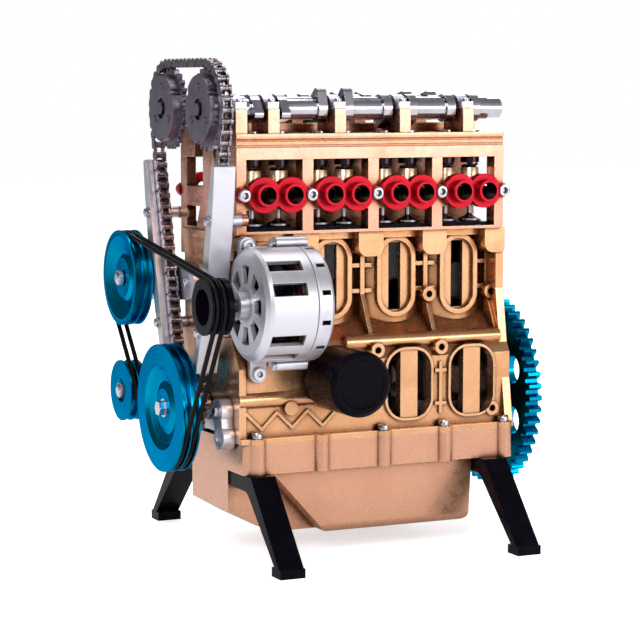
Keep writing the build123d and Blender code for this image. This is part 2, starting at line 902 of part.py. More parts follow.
def zigzag_rib():
    """Zigzag stiffening rib low on the front half of the -Y side."""
    first = block_front_x + zigzag_from_front
    heights = (zigzag_high_height, zigzag_low_height)
    centres = [(first + k * zigzag_step, heights[k % 2]) for k in range(zigzag_points)]
    bars = []
    for start, end in zip(centres, centres[1:]):
        bars.append(tapered_link(start, zigzag_width / 2, end, zigzag_width / 2))
    root = crankcase_half_width - crankcase_wall
    return [section_y(bar, -zigzag_face, -root) for bar in bars]


def bore_cutter(x):
    """Upright cavity of one cylinder, long enough across the engine for the piston's circling."""
    radius = piston_radius + bore_gap
    opening = SlotOverall(2 * (radius + crank_throw), 2 * radius, rotation=90)
    return section_z(Pos(x, 0) * opening, bore_foot_height, deck_height + cut_overrun)


def crankcase_cavity():
    """Space inside the crankcase, between the two end walls."""
    half = crankcase_half_width - crankcase_wall
    return box_between((block_front_x + end_wall_inset, block_rear_x - end_wall_inset), (-half, half),
                       (parting_height - cut_overrun, cavity_top_height))


def bearing_limits(x):
    """X limits of a main bearing, kept inside the block's end faces."""
    return max(x - bearing_half_width, block_front_x), min(x + bearing_half_width, block_rear_x)


def bearing_wall(x):
    """Cross wall that carries one main bearing, down to the crankshaft's axis."""
    half = crankcase_half_width - crankcase_wall + press_gap
    return box_between((x - bearing_half_width, x + bearing_half_width), (-half, half),
                       (crank_height, cavity_top_height + lip_height))


def starter_flange():
    """Lobe of the rear plate that the starter motor is bolted to."""
    root = (rear_plate_mid_half_width - starter_flange_radius, starter_z)
    lobe = tapered_link(root, starter_flange_radius, (starter_y, starter_z), starter_flange_radius)
    return section_x(lobe, block_rear_x - rear_plate_thickness, block_rear_x)


def cylinder_block():
    """The gold block: barrels, crankcase, plates, windows, ribs, bosses and bearing walls."""
    body = section_x(full_outline(block_half_outline()), block_front_x, block_rear_x)
    barrels = [along_z(barrel_radius, x, 0, (barrel_foot_height, deck_height)) for x in cylinder_x]
    inside = box_between((block_front_x, block_rear_x), (-barrel_radius, barrel_radius),
                         (barrel_foot_height, deck_height))
    spine = box_between((block_front_x, block_rear_x), (-valley_depth, valley_depth),
                        (barrel_foot_height, deck_height))
    body = joined(body, [barrel & inside for barrel in barrels] + [spine])
    front = [(front_plate_low_half_width, parting_height),
             (front_plate_low_half_width, front_plate_knee_low_height),
             (front_plate_top_half_width, front_plate_knee_top_height),
             (front_plate_top_half_width, deck_height)]
    rear = [(rear_plate_low_half_width, parting_height),
            (rear_plate_mid_half_width, rear_plate_mid_height),
            (rear_plate_top_half_width, rear_plate_knee_height),
            (rear_plate_top_half_width, deck_height)]
    plates = [section_x(full_outline(front), block_front_x, block_front_x + front_plate_thickness),
              section_x(full_outline(rear), block_rear_x - rear_plate_thickness, block_rear_x)]
    deck = box_between((block_front_x, block_rear_x), (-deck_flange_half_width, deck_flange_half_width),
                       (deck_height - deck_flange_height, deck_height))
    lip = box_between((block_front_x, block_rear_x), (-lip_half_width, lip_half_width),
                      (parting_height, lip_top))
    body = joined(body, plates + [deck, lip, starter_flange()])
    for x in pan_bolt_x:
        for side in (-1, 1):
            body = body + along_z(pan_boss_radius, x, side * pan_bolt_offset, (parting_height, lip_top))
    side_pieces = []
    for x in cylinder_x:
        side_pieces += both_sides(upper_window(x))
    for x in column_x:
        for piece in column_ribs(x):
            side_pieces += both_sides(piece)
    near_low, far_low = cylinder_x[2:], cylinder_x[:2]
    side_pieces += [lower_window(x) for x in near_low]
    side_pieces += [mirror(lower_window(x), Plane.XZ) for x in far_low]
    side_pieces += lower_column_rib(column_x[3])
    side_pieces += [mirror(piece, Plane.XZ) for piece in lower_column_rib(column_x[1])]
    side_pieces += zigzag_rib()
    gallery = (block_rear_x - gallery_length, block_rear_x - gallery_end_inset)
    side_pieces += both_sides(along_x(gallery_radius, gallery, -gallery_offset, gallery_height))
    front_gallery = (block_front_x, block_front_x + front_gallery_length)
    side_pieces.append(along_x(front_gallery_radius, front_gallery, -front_gallery_offset,
                               front_gallery_height))
    wall_root = crankcase_half_width - crankcase_wall
    front_boss_x = block_front_x + front_boss_from_front
    side_pieces.append(boss_y(front_boss_x, front_boss_height, front_boss_face, wall_root, front_boss_radius))
    side_pieces += [boss_y(column_x[k], high_boss_height, high_boss_face, valley_depth, side_boss_radius)
                    for k in high_boss_columns]
    side_pieces += [boss_y(column_x[k], mid_boss_height, mid_boss_face, valley_depth, side_boss_radius)
                    for k in mid_boss_columns]
    low_boss_x = column_x[-1] - low_boss_from_column
    side_pieces.append(boss_y(low_boss_x, low_boss_height, low_boss_face, wall_root, side_boss_radius))
    side_pieces.append(boss_y(column_x[0], top_ear_z - ear_radius, -ear_inner_y, valley_depth, ear_radius))
    side_pieces.append(boss_y(low_ear_x, low_ear_z, -ear_inner_y, wall_root, ear_radius))
    side_pieces.append(boss_y(filter_x, filter_z, filter_base, wall_root, filter_seat_radius))
    body = joined(body, side_pieces)
    body = body & box_between((block_front_x, block_rear_x), (-foot_outer, foot_outer),
                              (parting_height, deck_height))
    body = body - crankcase_cavity()
    body = joined(body, [bearing_wall(x) for x in column_x[1:-1]])
    cuts = [bore_cutter(x) for x in cylinder_x]
    cuts.append(along_x(main_journal_radius + running_gap,
                        (block_front_x - cut_overrun, block_rear_x + cut_overrun), 0, crank_height))
    for x in (block_front_x, block_rear_x - end_wall_inset):
        cuts.append(box_between((x - cut_overrun, x + end_wall_inset + cut_overrun),
                                (-cap_half_width - press_gap, cap_half_width + press_gap),
                                (parting_height - cut_overrun, crank_height)))
    for x in cylinder_x:
        for side in (-1, 1):
            cuts += upper_window_cuts(x, side)
    for x in near_low:
        cuts += lower_window_cuts(x, -1)
    for x in far_low:
        cuts += lower_window_cuts(x, 1)
    holes = [(column_x[k], high_boss_face, high_boss_height) for k in high_boss_columns]
    holes += [(column_x[k], mid_boss_face, mid_boss_height) for k in mid_boss_columns]
    holes.append((low_boss_x, low_boss_face, low_boss_height))
    cuts += [along_y(side_boss_hole_radius, x, (-face - cut_overrun, side_boss_hole_depth - face), z)
             for x, face, z in holes]
    for x, z in ((column_x[0], top_ear_z - ear_radius), (low_ear_x, low_ear_z)):
        cuts.append(along_y(ear_hole_radius, x,
                            (ear_inner_y - cut_overrun, ear_inner_y + side_boss_hole_depth), z))
    cuts.append(along_x(starter_nose_radius + starter_nose_gap,
                        (block_rear_x - rear_plate_thickness - cut_overrun, block_rear_x + cut_overrun),
                        starter_y, starter_z))
    for x in column_x:
        for side in (-1, 1):
            cuts.append(along_z(cap_screw_radius + press_gap, x, side * cap_screw_offset,
                                (crank_height - cut_overrun, crank_height + cap_screw_grip)))
    for x in pan_bolt_x:
        for side in (-1, 1):
            cuts.append(along_z(pan_bolt_shank_radius + press_gap, x, side * pan_bolt_offset,
                                (parting_height - cut_overrun, lip_top + cut_overrun)))
            cuts.append(along_z(pan_bolt_head_radius + running_gap, x, side * pan_bolt_offset,
                                (lip_top, lip_top + pan_bolt_head_height + end_gap)))
    cuts.append(along_x(alternator_radius + end_gap, (alternator_front_x, alternator_rear_x + cut_overrun),
                        alternator_y, alternator_z))
    return [cut(body, cuts)]


def main_bearing_caps():
    """Five bearing caps under the crankshaft."""
    caps = []
    for x in column_x:
        low = crank_height - cap_depth
        cap = box_between(bearing_limits(x), (-cap_half_width, cap_half_width), (low, crank_height))
        foot_edges = cap.edges().filter_by(Axis.X).group_by(Axis.Z)[0]
        cap = chamfer(foot_edges, cap_foot_fillet)
        cap = cap - along_x(main_journal_radius + running_gap,
                            (x - rod_width, x + rod_width), 0, crank_height)
        for side in (-1, 1):
            cap = cap - along_z(cap_screw_radius + press_gap, x, side * cap_screw_offset,
                                (low - cut_overrun, crank_height + cut_overrun))
        caps.append(cap)
    return caps


def main_cap_screws():
    """Two screws up through each bearing cap."""
    screws = []
    for x in column_x:
        for side in (-1, 1):
            seat = crank_height - cap_depth
            screw = screw_z(0, 0, 0, cap_screw_head_radius, cap_screw_head_height, cap_screw_radius,
                            cap_depth + cap_screw_grip - cut_overrun)
            screws.append(Pos(x, side * cap_screw_offset, seat) * Rot(180, 0, 0) * screw)
    return screws


# Oil pan, legs and battery

def pan_outer():
    """Outside of the pan: bolted flange, keel and slanted sump."""
    flange = box_between((pan_front_x, pan_rear_x), (-pan_half_width, pan_half_width),
                         (pan_flange_low, parting_height))
    flange = fillet(flange.edges().filter_by(Axis.Z), pan_corner)
    sump = section_y(sump_outline(0), -sump_half_width, sump_half_width)
    sump = fillet(sump.edges().group_by(Axis.Z)[0], sump_fillet)
    keel = section_y(keel_outline(0), -keel_half_width, keel_half_width)
    body = flange + sump + keel
    for x in pan_bolt_x:
        for side in (-1, 1):
            body = body + along_z(pan_boss_radius, x, side * pan_bolt_offset,
                                  (pan_flange_low, parting_height))
    return body


def sump_outline(inset):
    """Side outline of the sump, drawn in by an inset."""
    return Polygon((block_front_x + sump_front_top_from_front + inset, pan_flange_low + pan_corner),
                   (block_front_x + sump_front_bottom_from_front + inset, sump_bottom_height + inset),
                   (block_rear_x - sump_rear_bottom_from_rear - inset, sump_bottom_height + inset),
                   (block_rear_x - sump_rear_top_from_rear - inset, pan_flange_low + pan_corner), align=None)


def keel_outline(inset):
    """Side outline of the narrow front keel, drawn in by an inset."""
    return Polygon((pan_front_x + inset, pan_flange_low + pan_corner),
                   (pan_front_x + inset, keel_front_height + inset),
                   (block_front_x + keel_knee_from_front, keel_knee_height + inset),
                   (block_front_x + keel_flat_from_front, sump_bottom_height + inset),
                   (block_front_x + keel_end_from_front, sump_bottom_height + inset),
                   (block_front_x + keel_end_from_front, pan_flange_low + pan_corner), align=None)


def oil_pan():
    """The pan with its hollow and its bolt holes."""
    body = pan_outer()
    half = crankcase_half_width - crankcase_wall
    hollow = box_between((pan_front_x + end_wall_inset, pan_rear_x - end_wall_inset), (-half, half),
                         (pan_flange_low + pan_wall, parting_height + cut_overrun))
    half = sump_half_width - pan_wall
    hollow = hollow + section_y(sump_outline(pan_wall), -half, half)
    half = keel_half_width - pan_wall
    hollow = hollow + section_y(keel_outline(pan_wall), -half, half)
    body = body - hollow
    for x in pan_bolt_x:
        for side in (-1, 1):
            body = body - along_z(pan_bolt_shank_radius + press_gap, x, side * pan_bolt_offset,
                                  (parting_height - pan_flange_depth / 2, parting_height + cut_overrun))
    for x, y in leg_screw_places():
        body = body - along_z(leg_screw_shank_radius + press_gap, x, y,
                              (pan_flange_low - cut_overrun, pan_flange_low + pan_wall + cut_overrun))
    return [body]


def leg_x():
    """Low X of the front and the rear pair of legs."""
    return block_front_x + leg_front_inset, block_rear_x - leg_rear_inset - leg_width


def leg_screw_places():
    """Centre of the screw of each leg."""
    return [(x + leg_width / 2, side * leg_screw_offset) for x in leg_x() for side in (-1, 1)]


def support_legs():
    """Four bent strap legs with square feet."""
    outline = Polygon((foot_outer, 0), (foot_outer, foot_height), (strap_outer_foot, foot_height),
                      (strap_outer_top, pan_flange_low), (leg_arm_inner, pan_flange_low),
                      (leg_arm_inner, pan_flange_low - leg_arm_thickness),
                      (strap_inner_top, pan_flange_low - leg_arm_thickness),
                      (strap_inner_foot, foot_height), (foot_inner, foot_height), (foot_inner, 0), align=None)
    inner_corner = outline.vertices().sort_by_distance(
        Vector(strap_inner_top, pan_flange_low - leg_arm_thickness, 0))[0]
    outline = fillet(inner_corner, leg_fillet)
    legs = []
    for x in leg_x():
        leg = section_x(outline, x, x + leg_width)
        leg = leg - along_z(leg_screw_shank_radius + press_gap, x + leg_width / 2, leg_screw_offset,
                            (pan_flange_low - leg_arm_thickness - cut_overrun, pan_flange_low + cut_overrun))
        legs += both_sides(leg)
    return legs


def pan_and_leg_screws():
    """Screws of the pan flange and of the legs."""
    screws = []
    length = pan_flange_depth / 2 + lip_height - cut_overrun
    for side, steps in ((-1, pan_bolt_near_steps), (1, range(pan_bolt_count))):
        for step in steps:
            screws.append(screw_z(pan_bolt_x[step], side * pan_bolt_offset, lip_top, pan_bolt_head_radius,
                                  pan_bolt_head_height, pan_bolt_shank_radius, length))
    for x, y in leg_screw_places():
        screw = screw_z(0, 0, 0, leg_screw_head_radius, leg_screw_head_height, leg_screw_shank_radius,
                        leg_arm_thickness + pan_wall)
        screws.append(Pos(x, y, pan_flange_low - leg_arm_thickness) * Rot(180, 0, 0) * screw)
    return screws


def battery_pack():
    """Battery of the starter motor, lying in the sump."""
    first = block_front_x + battery_from_front
    low = sump_bottom_height + pan_wall
    pack = box_between((first, first + battery_length), (-battery_width / 2, battery_width / 2),
                       (low, low + battery_height))
    return [fillet(pack.edges().filter_by(Axis.X), battery_corner)]


# Crankshaft, rods and pistons

def throw_turn(index):
    """Turn of one crank throw from straight up."""
    return 2 * pi * throw_turns_share[index]


def pin_centre(index):
    """Crank pin's centre in (Y, Z), for one cylinder."""
    turn = throw_turn(index)
    return crank_throw * sin(turn), crank_height + crank_throw * cos(turn)


def crank_web(index):
    """Outline of a crank web with its counterweight."""
    turn = throw_turn(index)
    web = tapered_link((0, 0), web_main_radius, (0, crank_throw), web_pin_radius)
    spread = radians(counterweight_half_angle)
    reach = counterweight_radius
    left = (-reach * sin(spread), -reach * cos(spread))
    right = (reach * sin(spread), -reach * cos(spread))
    fan = [Line((0, 0), left), ThreePointArc(left, (0, -reach), right), Line(right, (0, 0))]
    web = web + make_face(Wire([edge.edge() for edge in fan]))
    return Pos(0, crank_height) * Rot(0, 0, -degrees(turn)) * web


def crankshaft():
    """Crankshaft with five journals, four throws, a front nose and a rear flange."""
    half = crank_pin_length / 2
    shaft = along_x(main_journal_radius, (block_front_x, cylinder_x[0] - half), 0, crank_height)
    for index, x in enumerate(cylinder_x):
        y, z = pin_centre(index)
        pin = along_x(crank_pin_radius, (x - half - web_thickness / 2, x + half + web_thickness / 2), y, z)
        web = crank_web(index)
        webs = [section_x(web, x - half - web_thickness, x - half),
                section_x(web, x + half, x + half + web_thickness)]
        after = cylinder_x[index + 1] - half if index + 1 < cylinder_count else block_rear_x
        journal = along_x(main_journal_radius, (x + half + web_thickness / 2, after - web_thickness / 2), 0,
                          crank_height)
        shaft = joined(shaft, [webs[0], pin, webs[1], journal])
    nose = along_x(crank_nose_radius, (pulley_front_x + pulley_dish_depth, column_x[0]), 0, crank_height)
    rear = along_x(main_journal_radius, (block_rear_x - end_wall_inset, block_rear_x + end_gap), 0,
                   crank_height)
    flange = along_x(crank_flange_radius, (block_rear_x + end_gap, flywheel_front_x), 0, crank_height)
    return [joined(shaft, [nose, rear, flange])]


def connecting_rod(index):
    """Rod body and big end cap of one cylinder."""
    x = cylinder_x[index]
    y, z = pin_centre(index)
    top = z + rod_length
    half = rod_width / 2
    eye = along_x(big_end_radius, (x - half, x + half), y, z)
    ears = box_between((x - half, x + half), (y - big_end_ear_reach, y + big_end_ear_reach),
                       (z - big_end_ear_half, z + big_end_ear_half))
    shank = Polygon((y - rod_shank_half_bottom, z), (y + rod_shank_half_bottom, z),
                    (y + rod_shank_half_top, top), (y - rod_shank_half_top, top), align=None)
    shank_half = rod_shank_width / 2
    rod = eye + ears + section_x(shank, x - shank_half, x + shank_half)
    small_half = small_end_width / 2
    rod = rod + along_x(small_end_radius, (x - small_half, x + small_half), y, top)
    recess_top = top - small_end_radius - rod_recess_margin
    recess_low = z + big_end_radius + rod_recess_margin
    recess_half = rod_shank_half_top - rod_recess_margin / 2
    for side in (-1, 1):
        face = x + side * shank_half
        rod = rod - box_between((face - side * rod_recess_depth, face + side * rod_recess_depth),
                                (y - recess_half, y + recess_half), (recess_low, recess_top))
    rod = rod - along_x(wrist_pin_radius + running_gap, (x - half, x + half), y, top)
    rod = rod - along_x(crank_pin_radius + running_gap, (x - rod_width, x + rod_width), y, z)
    split = box_between((x - rod_width, x + rod_width),
                        (y - 2 * big_end_ear_reach, y + 2 * big_end_ear_reach),
                        (z - 2 * big_end_ear_reach, z))
    return [rod - split, rod & split]


def piston(index):
    """Piston and wrist pin of one cylinder."""
    x = cylinder_x[index]
    y, z = pin_centre(index)
    pin_z = z + rod_length
    crown = pin_z + wrist_pin_to_crown
    skirt = crown - piston_height
    inner = piston_radius - piston_skirt_wall
    body = along_z(piston_radius, x, y, (skirt, crown))
    body = body - along_z(inner, x, y, (skirt - cut_overrun, crown - piston_crown_thickness))
    boss_start = small_end_width / 2 + end_gap
    for side in (-1, 1):
        boss = along_x(pin_boss_radius, (x + side * boss_start, x + side * inner), y, pin_z)
        web = box_between((x + side * boss_start, x + side * inner),
                          (y - pin_boss_radius, y + pin_boss_radius),
                          (pin_z, crown - piston_crown_thickness))
        body = body + (boss + web & along_z(inner + press_gap, x, y, (skirt, crown)))
    for ring in range(ring_groove_count):
        top = crown - first_ring_drop - ring * ring_groove_pitch
        ring_cut = along_z(piston_radius + cut_overrun, x, y, (top - ring_groove_height, top))
        body = body - (ring_cut - along_z(piston_radius - ring_groove_depth, x, y, (skirt, crown)))
    body = body - along_x(wrist_pin_radius + press_gap, (x - 2 * piston_radius, x + 2 * piston_radius), y,
                          pin_z)
    reach = piston_radius - wrist_pin_end_inset
    return [body, along_x(wrist_pin_radius, (x - reach, x + reach), y, pin_z)]


# Cylinder head, ports, valves and springs

def valve_places(side):
    """Centres (X, Y) of all valves of one side."""
    return [(x + offset, side * cam_half_spacing) for x in cylinder_x for offset in valve_x_offsets]


def seat_limits(gap):
    """Limits in X and Y of the seat plate, which lies inside the base frame of the head."""
    inset = base_frame_width + gap
    half = head_half_width - inset
    return (head_front_x + inset, head_rear_x - inset), (-half, half)


def seat_plate():
    """Black plate on the block inside the head's base frame, with a seat hole under every valve."""
    plate = box_between(*seat_limits(press_gap), (deck_height, seat_plate_top))
    plate = fillet(plate.edges().filter_by(Axis.Z), carrier_corner)
    radius = valve_head_radius + valve_head_lift
    holes = [along_z(radius, x, y, (deck_height - cut_overrun, seat_plate_top + cut_overrun))
             for side in (-1, 1) for x, y in valve_places(side)]
    return [cut(plate, holes)]


def cylinder_head():
    """Open frame: base, pillars, port rails with valve guides, cross bars, spine and front post."""
    length = (head_front_x, head_rear_x)
    width = (-head_half_width, head_half_width)
    rail_limits = (rail_low_height, rail_top_height)
    base = box_between(length, width, (deck_height, deck_height + base_frame_height))
    pieces = [box_between(length, (-spine_half_width, spine_half_width), (deck_height, head_top_height))]
    for side in (-1, 1):
        limits = sorted([side * rail_inner, side * head_half_width])
        pieces.append(box_between(length, limits, rail_limits))
        for x, y in valve_places(side):
            pieces.append(along_z(guide_radius, x, y, (rail_low_height, guide_top_height)))
    for x in column_x:
        low = max(x - head_bar_half_width, head_front_x)
        high = min(x + head_bar_half_width, head_rear_x)
        pieces.append(box_between((low, high), width, rail_limits))
        for side in (-1, 1):
            limits = sorted([side * (head_half_width - pillar_depth), side * head_half_width])
            pieces.append(box_between((low, high), limits, (deck_height, head_top_height)))
    post_rear = head_front_x + spine_post_depth
    brace_rear = head_front_x + spine_post_depth / 2
    pieces.append(box_between((head_front_x, post_rear), (-spine_half_width, spine_half_width),
                              (deck_height, carrier_top)))
    brace_top = seat_plate_top + spine_post_brace
    brace = Polygon((-spine_half_width, brace_top), (spine_half_width, brace_top),
                    (spine_post_foot_half_width, deck_height), (-spine_post_foot_half_width, deck_height),
                    align=None)
    pieces.append(section_x(brace, head_front_x, brace_rear))
    for side in (-1, 1):
        y, z = guide_screw_places(side)[0]
        ear = tapered_link((side * guide_ear_root, z), guide_lug_radius, (y, z), guide_lug_radius)
        pieces.append(section_x(ear, head_front_x, brace_rear))
    head = joined(base, pieces)
    cuts = [box_between(*seat_limits(0), (deck_height - cut_overrun, seat_plate_top))]
    for side in (-1, 1):
        for x, y in valve_places(side):
            cuts.append(along_z(valve_stem_radius + stem_guide_gap, x, y,
                                (rail_low_height - cut_overrun, guide_top_height + cut_overrun)))
            limits = sorted([side * (head_half_width - port_depth), side * (head_half_width + cut_overrun)])
            cuts.append(along_y(port_bore_radius, x, limits, port_height))
        for x in column_x:
            depth = port_screw_length - port_plate_thickness + press_gap
            limits = sorted([side * (head_half_width - depth), side * (head_half_width + cut_overrun)])
            cuts.append(along_y(port_screw_shank_radius + press_gap, x, limits, port_height))
    return [cut(head, cuts)]


def port_stubs(side):
    """Red strip of port stubs on one side of the head."""
    face = head_half_width
    limits = sorted([side * face, side * port_plate_face])
    strip = Pos(engine_middle_x, port_height) * Rectangle(column_x[-1] - column_x[0],
                                                          2 * port_tab_half_height)
    body = section_y(strip, *limits)
    body = joined(body, [along_y(port_tab_radius, x, limits, port_height) for x in column_x])
    flange_limits = sorted([side * face, side * (port_plate_face + port_flange_extra)])
    stub_limits = sorted([side * face, side * (face + port_stub_length)])
    cutter_limits = sorted([side * (face - cut_overrun), side * (face + port_stub_length + cut_overrun)])
    places = [x for x, _ in valve_places(side)]
    body = joined(body, [along_y(port_flange_radius, x, flange_limits, port_height) for x in places])
    body = joined(body, [along_y(port_stub_radius, x, stub_limits, port_height) for x in places])
    body = cut(body, [along_y(port_bore_radius, x, cutter_limits, port_height) for x in places])
    screws = [along_y(port_screw_shank_radius + press_gap, x, cutter_limits, port_height) for x in column_x]
    head_limits = sorted([side * port_plate_face, side * (face + port_stub_length + cut_overrun)])
    heads = [along_y(port_screw_head_radius + running_gap, x, head_limits, port_height) for x in column_x]
    return [cut(body, screws + heads)]


def port_screws():
    """Socket screws of both port strips."""
    screws = []
    for side in (-1, 1):
        for x in column_x:
            screws.append(socket_screw_y(x, port_plate_face, side, port_height, port_screw_head_radius,
                                         port_screw_head_height, port_screw_shank_radius,
                                         port_screw_length - press_gap))
    return screws


def valve(x, y):
    """Valve with its retainer and tappet, closed."""
    head_low = seat_plate_top + valve_head_lift
    head_top = head_low + valve_head_edge
    retainer_top = retainer_low_height + retainer_height
    points = [(0, head_low), (valve_head_radius, head_low), (valve_head_radius, head_top),
              (2 * valve_stem_radius, head_top + valve_head_tulip / 2), (valve_stem_radius,
                                                                         head_top + valve_head_tulip),
              (valve_stem_radius, retainer_low_height), (retainer_radius, retainer_low_height),
              (retainer_radius, retainer_top), (tappet_radius, retainer_top), (tappet_radius, tappet_top),
              (0, tappet_top)]
    return turned_z(list(dict.fromkeys(points)), x, y)


def valve_pair(index, side):
    """The two valves of one cylinder on one side."""
    return [valve(cylinder_x[index] + offset, side * cam_half_spacing) for offset in valve_x_offsets]


def spring_path():
    """Helix of a valve spring as arcs of a quarter turn, at the origin."""
    low = guide_top_height + spring_wire_radius + spring_seat_gap
    high = retainer_low_height - spring_wire_radius - spring_seat_gap
    steps = 4 * spring_turns
    rise = (high - low) / steps

    def point(step):
        angle = step * pi / 2
        return Vector(spring_radius * cos(angle), spring_radius * sin(angle), low + rise * step)

    arcs = [ThreePointArc(point(step), point(step + 0.5), point(step + 1)).edge() for step in range(steps)]
    return arcs, rise * 4


def valve_springs():
    """One spring round each valve stem."""
    arcs, pitch = spring_path()
    print("spring gap between turns", round(pitch - 2 * spring_wire_radius, 3))
    path = Wire(arcs)
    start = Plane(origin=path @ 0, z_dir=path % 0)
    spring = sweep(start * Circle(spring_wire_radius), path=path)
    return [Pos(x, y, 0) * spring for side in (-1, 1) for x, y in valve_places(side)]


# Cam carrier, camshafts and caps

def cam_carrier():
    """Carrier with two grooved rails, cross bars, towers, tappet bores and the gallery of the plug wells."""
    rails = []
    for side in (-1, 1):
        limits = sorted([side * carrier_rail_inner, side * head_half_width])
        rails.append(box_between((head_front_x, head_rear_x), limits, (head_top_height, carrier_top)))
    body = rails[0] + rails[1]
    bars = [box_between((x - carrier_bar_half_width, x + carrier_bar_half_width),
                        (-head_half_width, head_half_width),
                        (head_top_height, carrier_top)) for x in cylinder_x]
    end_bar = box_between((head_rear_x - carrier_bar_half_width, head_rear_x),
                          (-head_half_width, head_half_width),
                          (head_top_height, carrier_top))
    gallery = box_between((head_front_x + spine_post_depth, head_rear_x),
                          (-spine_half_width, spine_half_width),
                          (head_top_height, carrier_top + gallery_rise))
    body = joined(body, bars + [end_bar, gallery])
    for x in tower_x:
        for side in (-1, 1):
            limits = sorted([side * tower_inner, side * tower_outer])
            body = body + box_between((x - tower_half_width, x + tower_half_width), limits,
                                      (carrier_top - carrier_corner, cam_height))
    gallery_top = carrier_top + gallery_rise
    cuts = [along_z(plug_well_radius, x, 0, (gallery_top - plug_well_depth, gallery_top + cut_overrun))
            for x in cylinder_x]
    for side in (-1, 1):
        cuts.append(along_x(cam_journal_radius + running_gap,
                            (head_front_x - cut_overrun, head_rear_x + cut_overrun),
                            side * cam_half_spacing, cam_height))
        for x, y in valve_places(side):
            cuts.append(along_z(tappet_radius + running_gap, x, y,
                                (head_top_height - cut_overrun, cam_height - tower_half_width)))
        for k in range(2):
            top = carrier_top - carrier_groove_drop - k * carrier_groove_pitch
            limits = sorted([side * (head_half_width - carrier_groove_depth),
                             side * (head_half_width + cut_overrun)])
            cuts.append(box_between((head_front_x - cut_overrun, head_rear_x + cut_overrun), limits,
                                    (top - carrier_groove_height, top)))
    for x, y in cam_cap_screw_places():
        cuts.append(along_z(cam_cap_screw_shank_radius + press_gap, x, y,
                            (cam_height - cam_cap_screw_length, cam_height + cut_overrun)))
    return [cut(body, cuts)]


def cam_cap_screw_places():
    """Centres (X, Y) of the screws of the camshaft caps."""
    places = []
    for x in tower_x:
        for side in (-1, 1):
            for way in (-1, 1):
                places.append((x, side * cam_half_spacing + way * cam_cap_screw_offset))
    return places


def cam_caps():
    """Half round caps over the camshaft journals."""
    caps = []
    for x in tower_x:
        for side in (-1, 1):
            y = side * cam_half_spacing
            ring = along_x(cap_ring_radius, (x - tower_half_width, x + tower_half_width), y, cam_height)
            ears = box_between((x - tower_half_width, x + tower_half_width),
                               (y - cap_ear_half_width, y + cap_ear_half_width),
                               (cam_height, cam_height + cap_ear_height))
            above = box_between((x - cylinder_pitch, x + cylinder_pitch),
                                (y - head_half_width, y + head_half_width),
                                (cam_height, cam_height + head_half_width))
            cap = (ring & above) + ears
            cap = cap - along_x(cam_journal_radius + running_gap, (x - lobe_width, x + lobe_width), y,
                                cam_height)
            for way in (-1, 1):
                cap = cap - along_z(cam_cap_screw_shank_radius + press_gap, x, y + way * cam_cap_screw_offset,
                                    (cam_height - cut_overrun, cam_height + cap_ear_height + cut_overrun))
            caps.append(cap)
    return caps


def cam_cap_screws():
    """Screws of the camshaft caps."""
    return [screw_z(x, y, cam_height + cap_ear_height, cam_cap_screw_head_radius, cam_cap_screw_head_height,
                    cam_cap_screw_shank_radius, cam_cap_screw_length) for x, y in cam_cap_screw_places()]


def lobe_outline(turn_share):
    """Cam lobe with its nose turned by a share of a full turn from straight up."""
    lobe = tapered_link((0, 0), lobe_base_radius, (0, lobe_nose_reach - lobe_nose_radius), lobe_nose_radius)
    return Rot(0, 0, 360 * turn_share) * lobe


def camshaft(side, lobe_turns_share):
    """Camshaft with journals in the towers, lobes beside them and barrels between."""
    y = side * cam_half_spacing
    sprocket_rear = chain_x + sprocket_thickness / 2
    inner = port_half_spacing - lobe_width / 2
    outer = port_half_spacing + lobe_width / 2
    shaft = along_x(cam_journal_radius, (sprocket_rear, cylinder_x[0]), y, cam_height)
    shaft = shaft + along_x(cam_flange_radius, (sprocket_rear, sprocket_rear + cam_flange_thickness), y,
                            cam_height)
    front_barrel = (tower_x[0] + tower_half_width + end_gap, cylinder_x[0] - outer)
    shaft = shaft + along_x(cam_barrel_radius, front_barrel, y, cam_height)
    for index, x in enumerate(cylinder_x):
        after = cylinder_x[index + 1] - outer if index + 1 < cylinder_count else head_rear_x - lobe_width
        lobe = Pos(y, cam_height) * lobe_outline(lobe_turns_share[index])
        pieces = [section_x(lobe, x - outer, x - inner), section_x(lobe, x + inner, x + outer),
                  along_x(cam_journal_radius, (x - inner, x + inner), y, cam_height),
                  along_x(cam_barrel_radius, (x + outer, after), y, cam_height)]
        shaft = joined(shaft, pieces)
    end = (head_rear_x - lobe_width - cam_end_reach, head_rear_x + cam_end_reach)
    return [shaft + along_x(cam_end_radius, end, y, cam_height)]


# Timing chain and sprockets

def sprocket_outline(teeth, pitch_radius):
    """Sprocket with pointed teeth that stay just inside the chain's rollers."""
    tip = pitch_radius - chain_roller_radius - sprocket_roller_gap
    root = tip - sprocket_tooth_height
    step = 2 * pi / teeth
    points = []
    for tooth in range(teeth):
        for turn, radius in ((-sprocket_root_share, root), (-sprocket_tip_share, tip),
                             (sprocket_tip_share, tip), (sprocket_root_share, root)):
            angle = (tooth + turn) * step
            points.append((radius * cos(angle), radius * sin(angle)))
    return Polygon(*points, align=None)


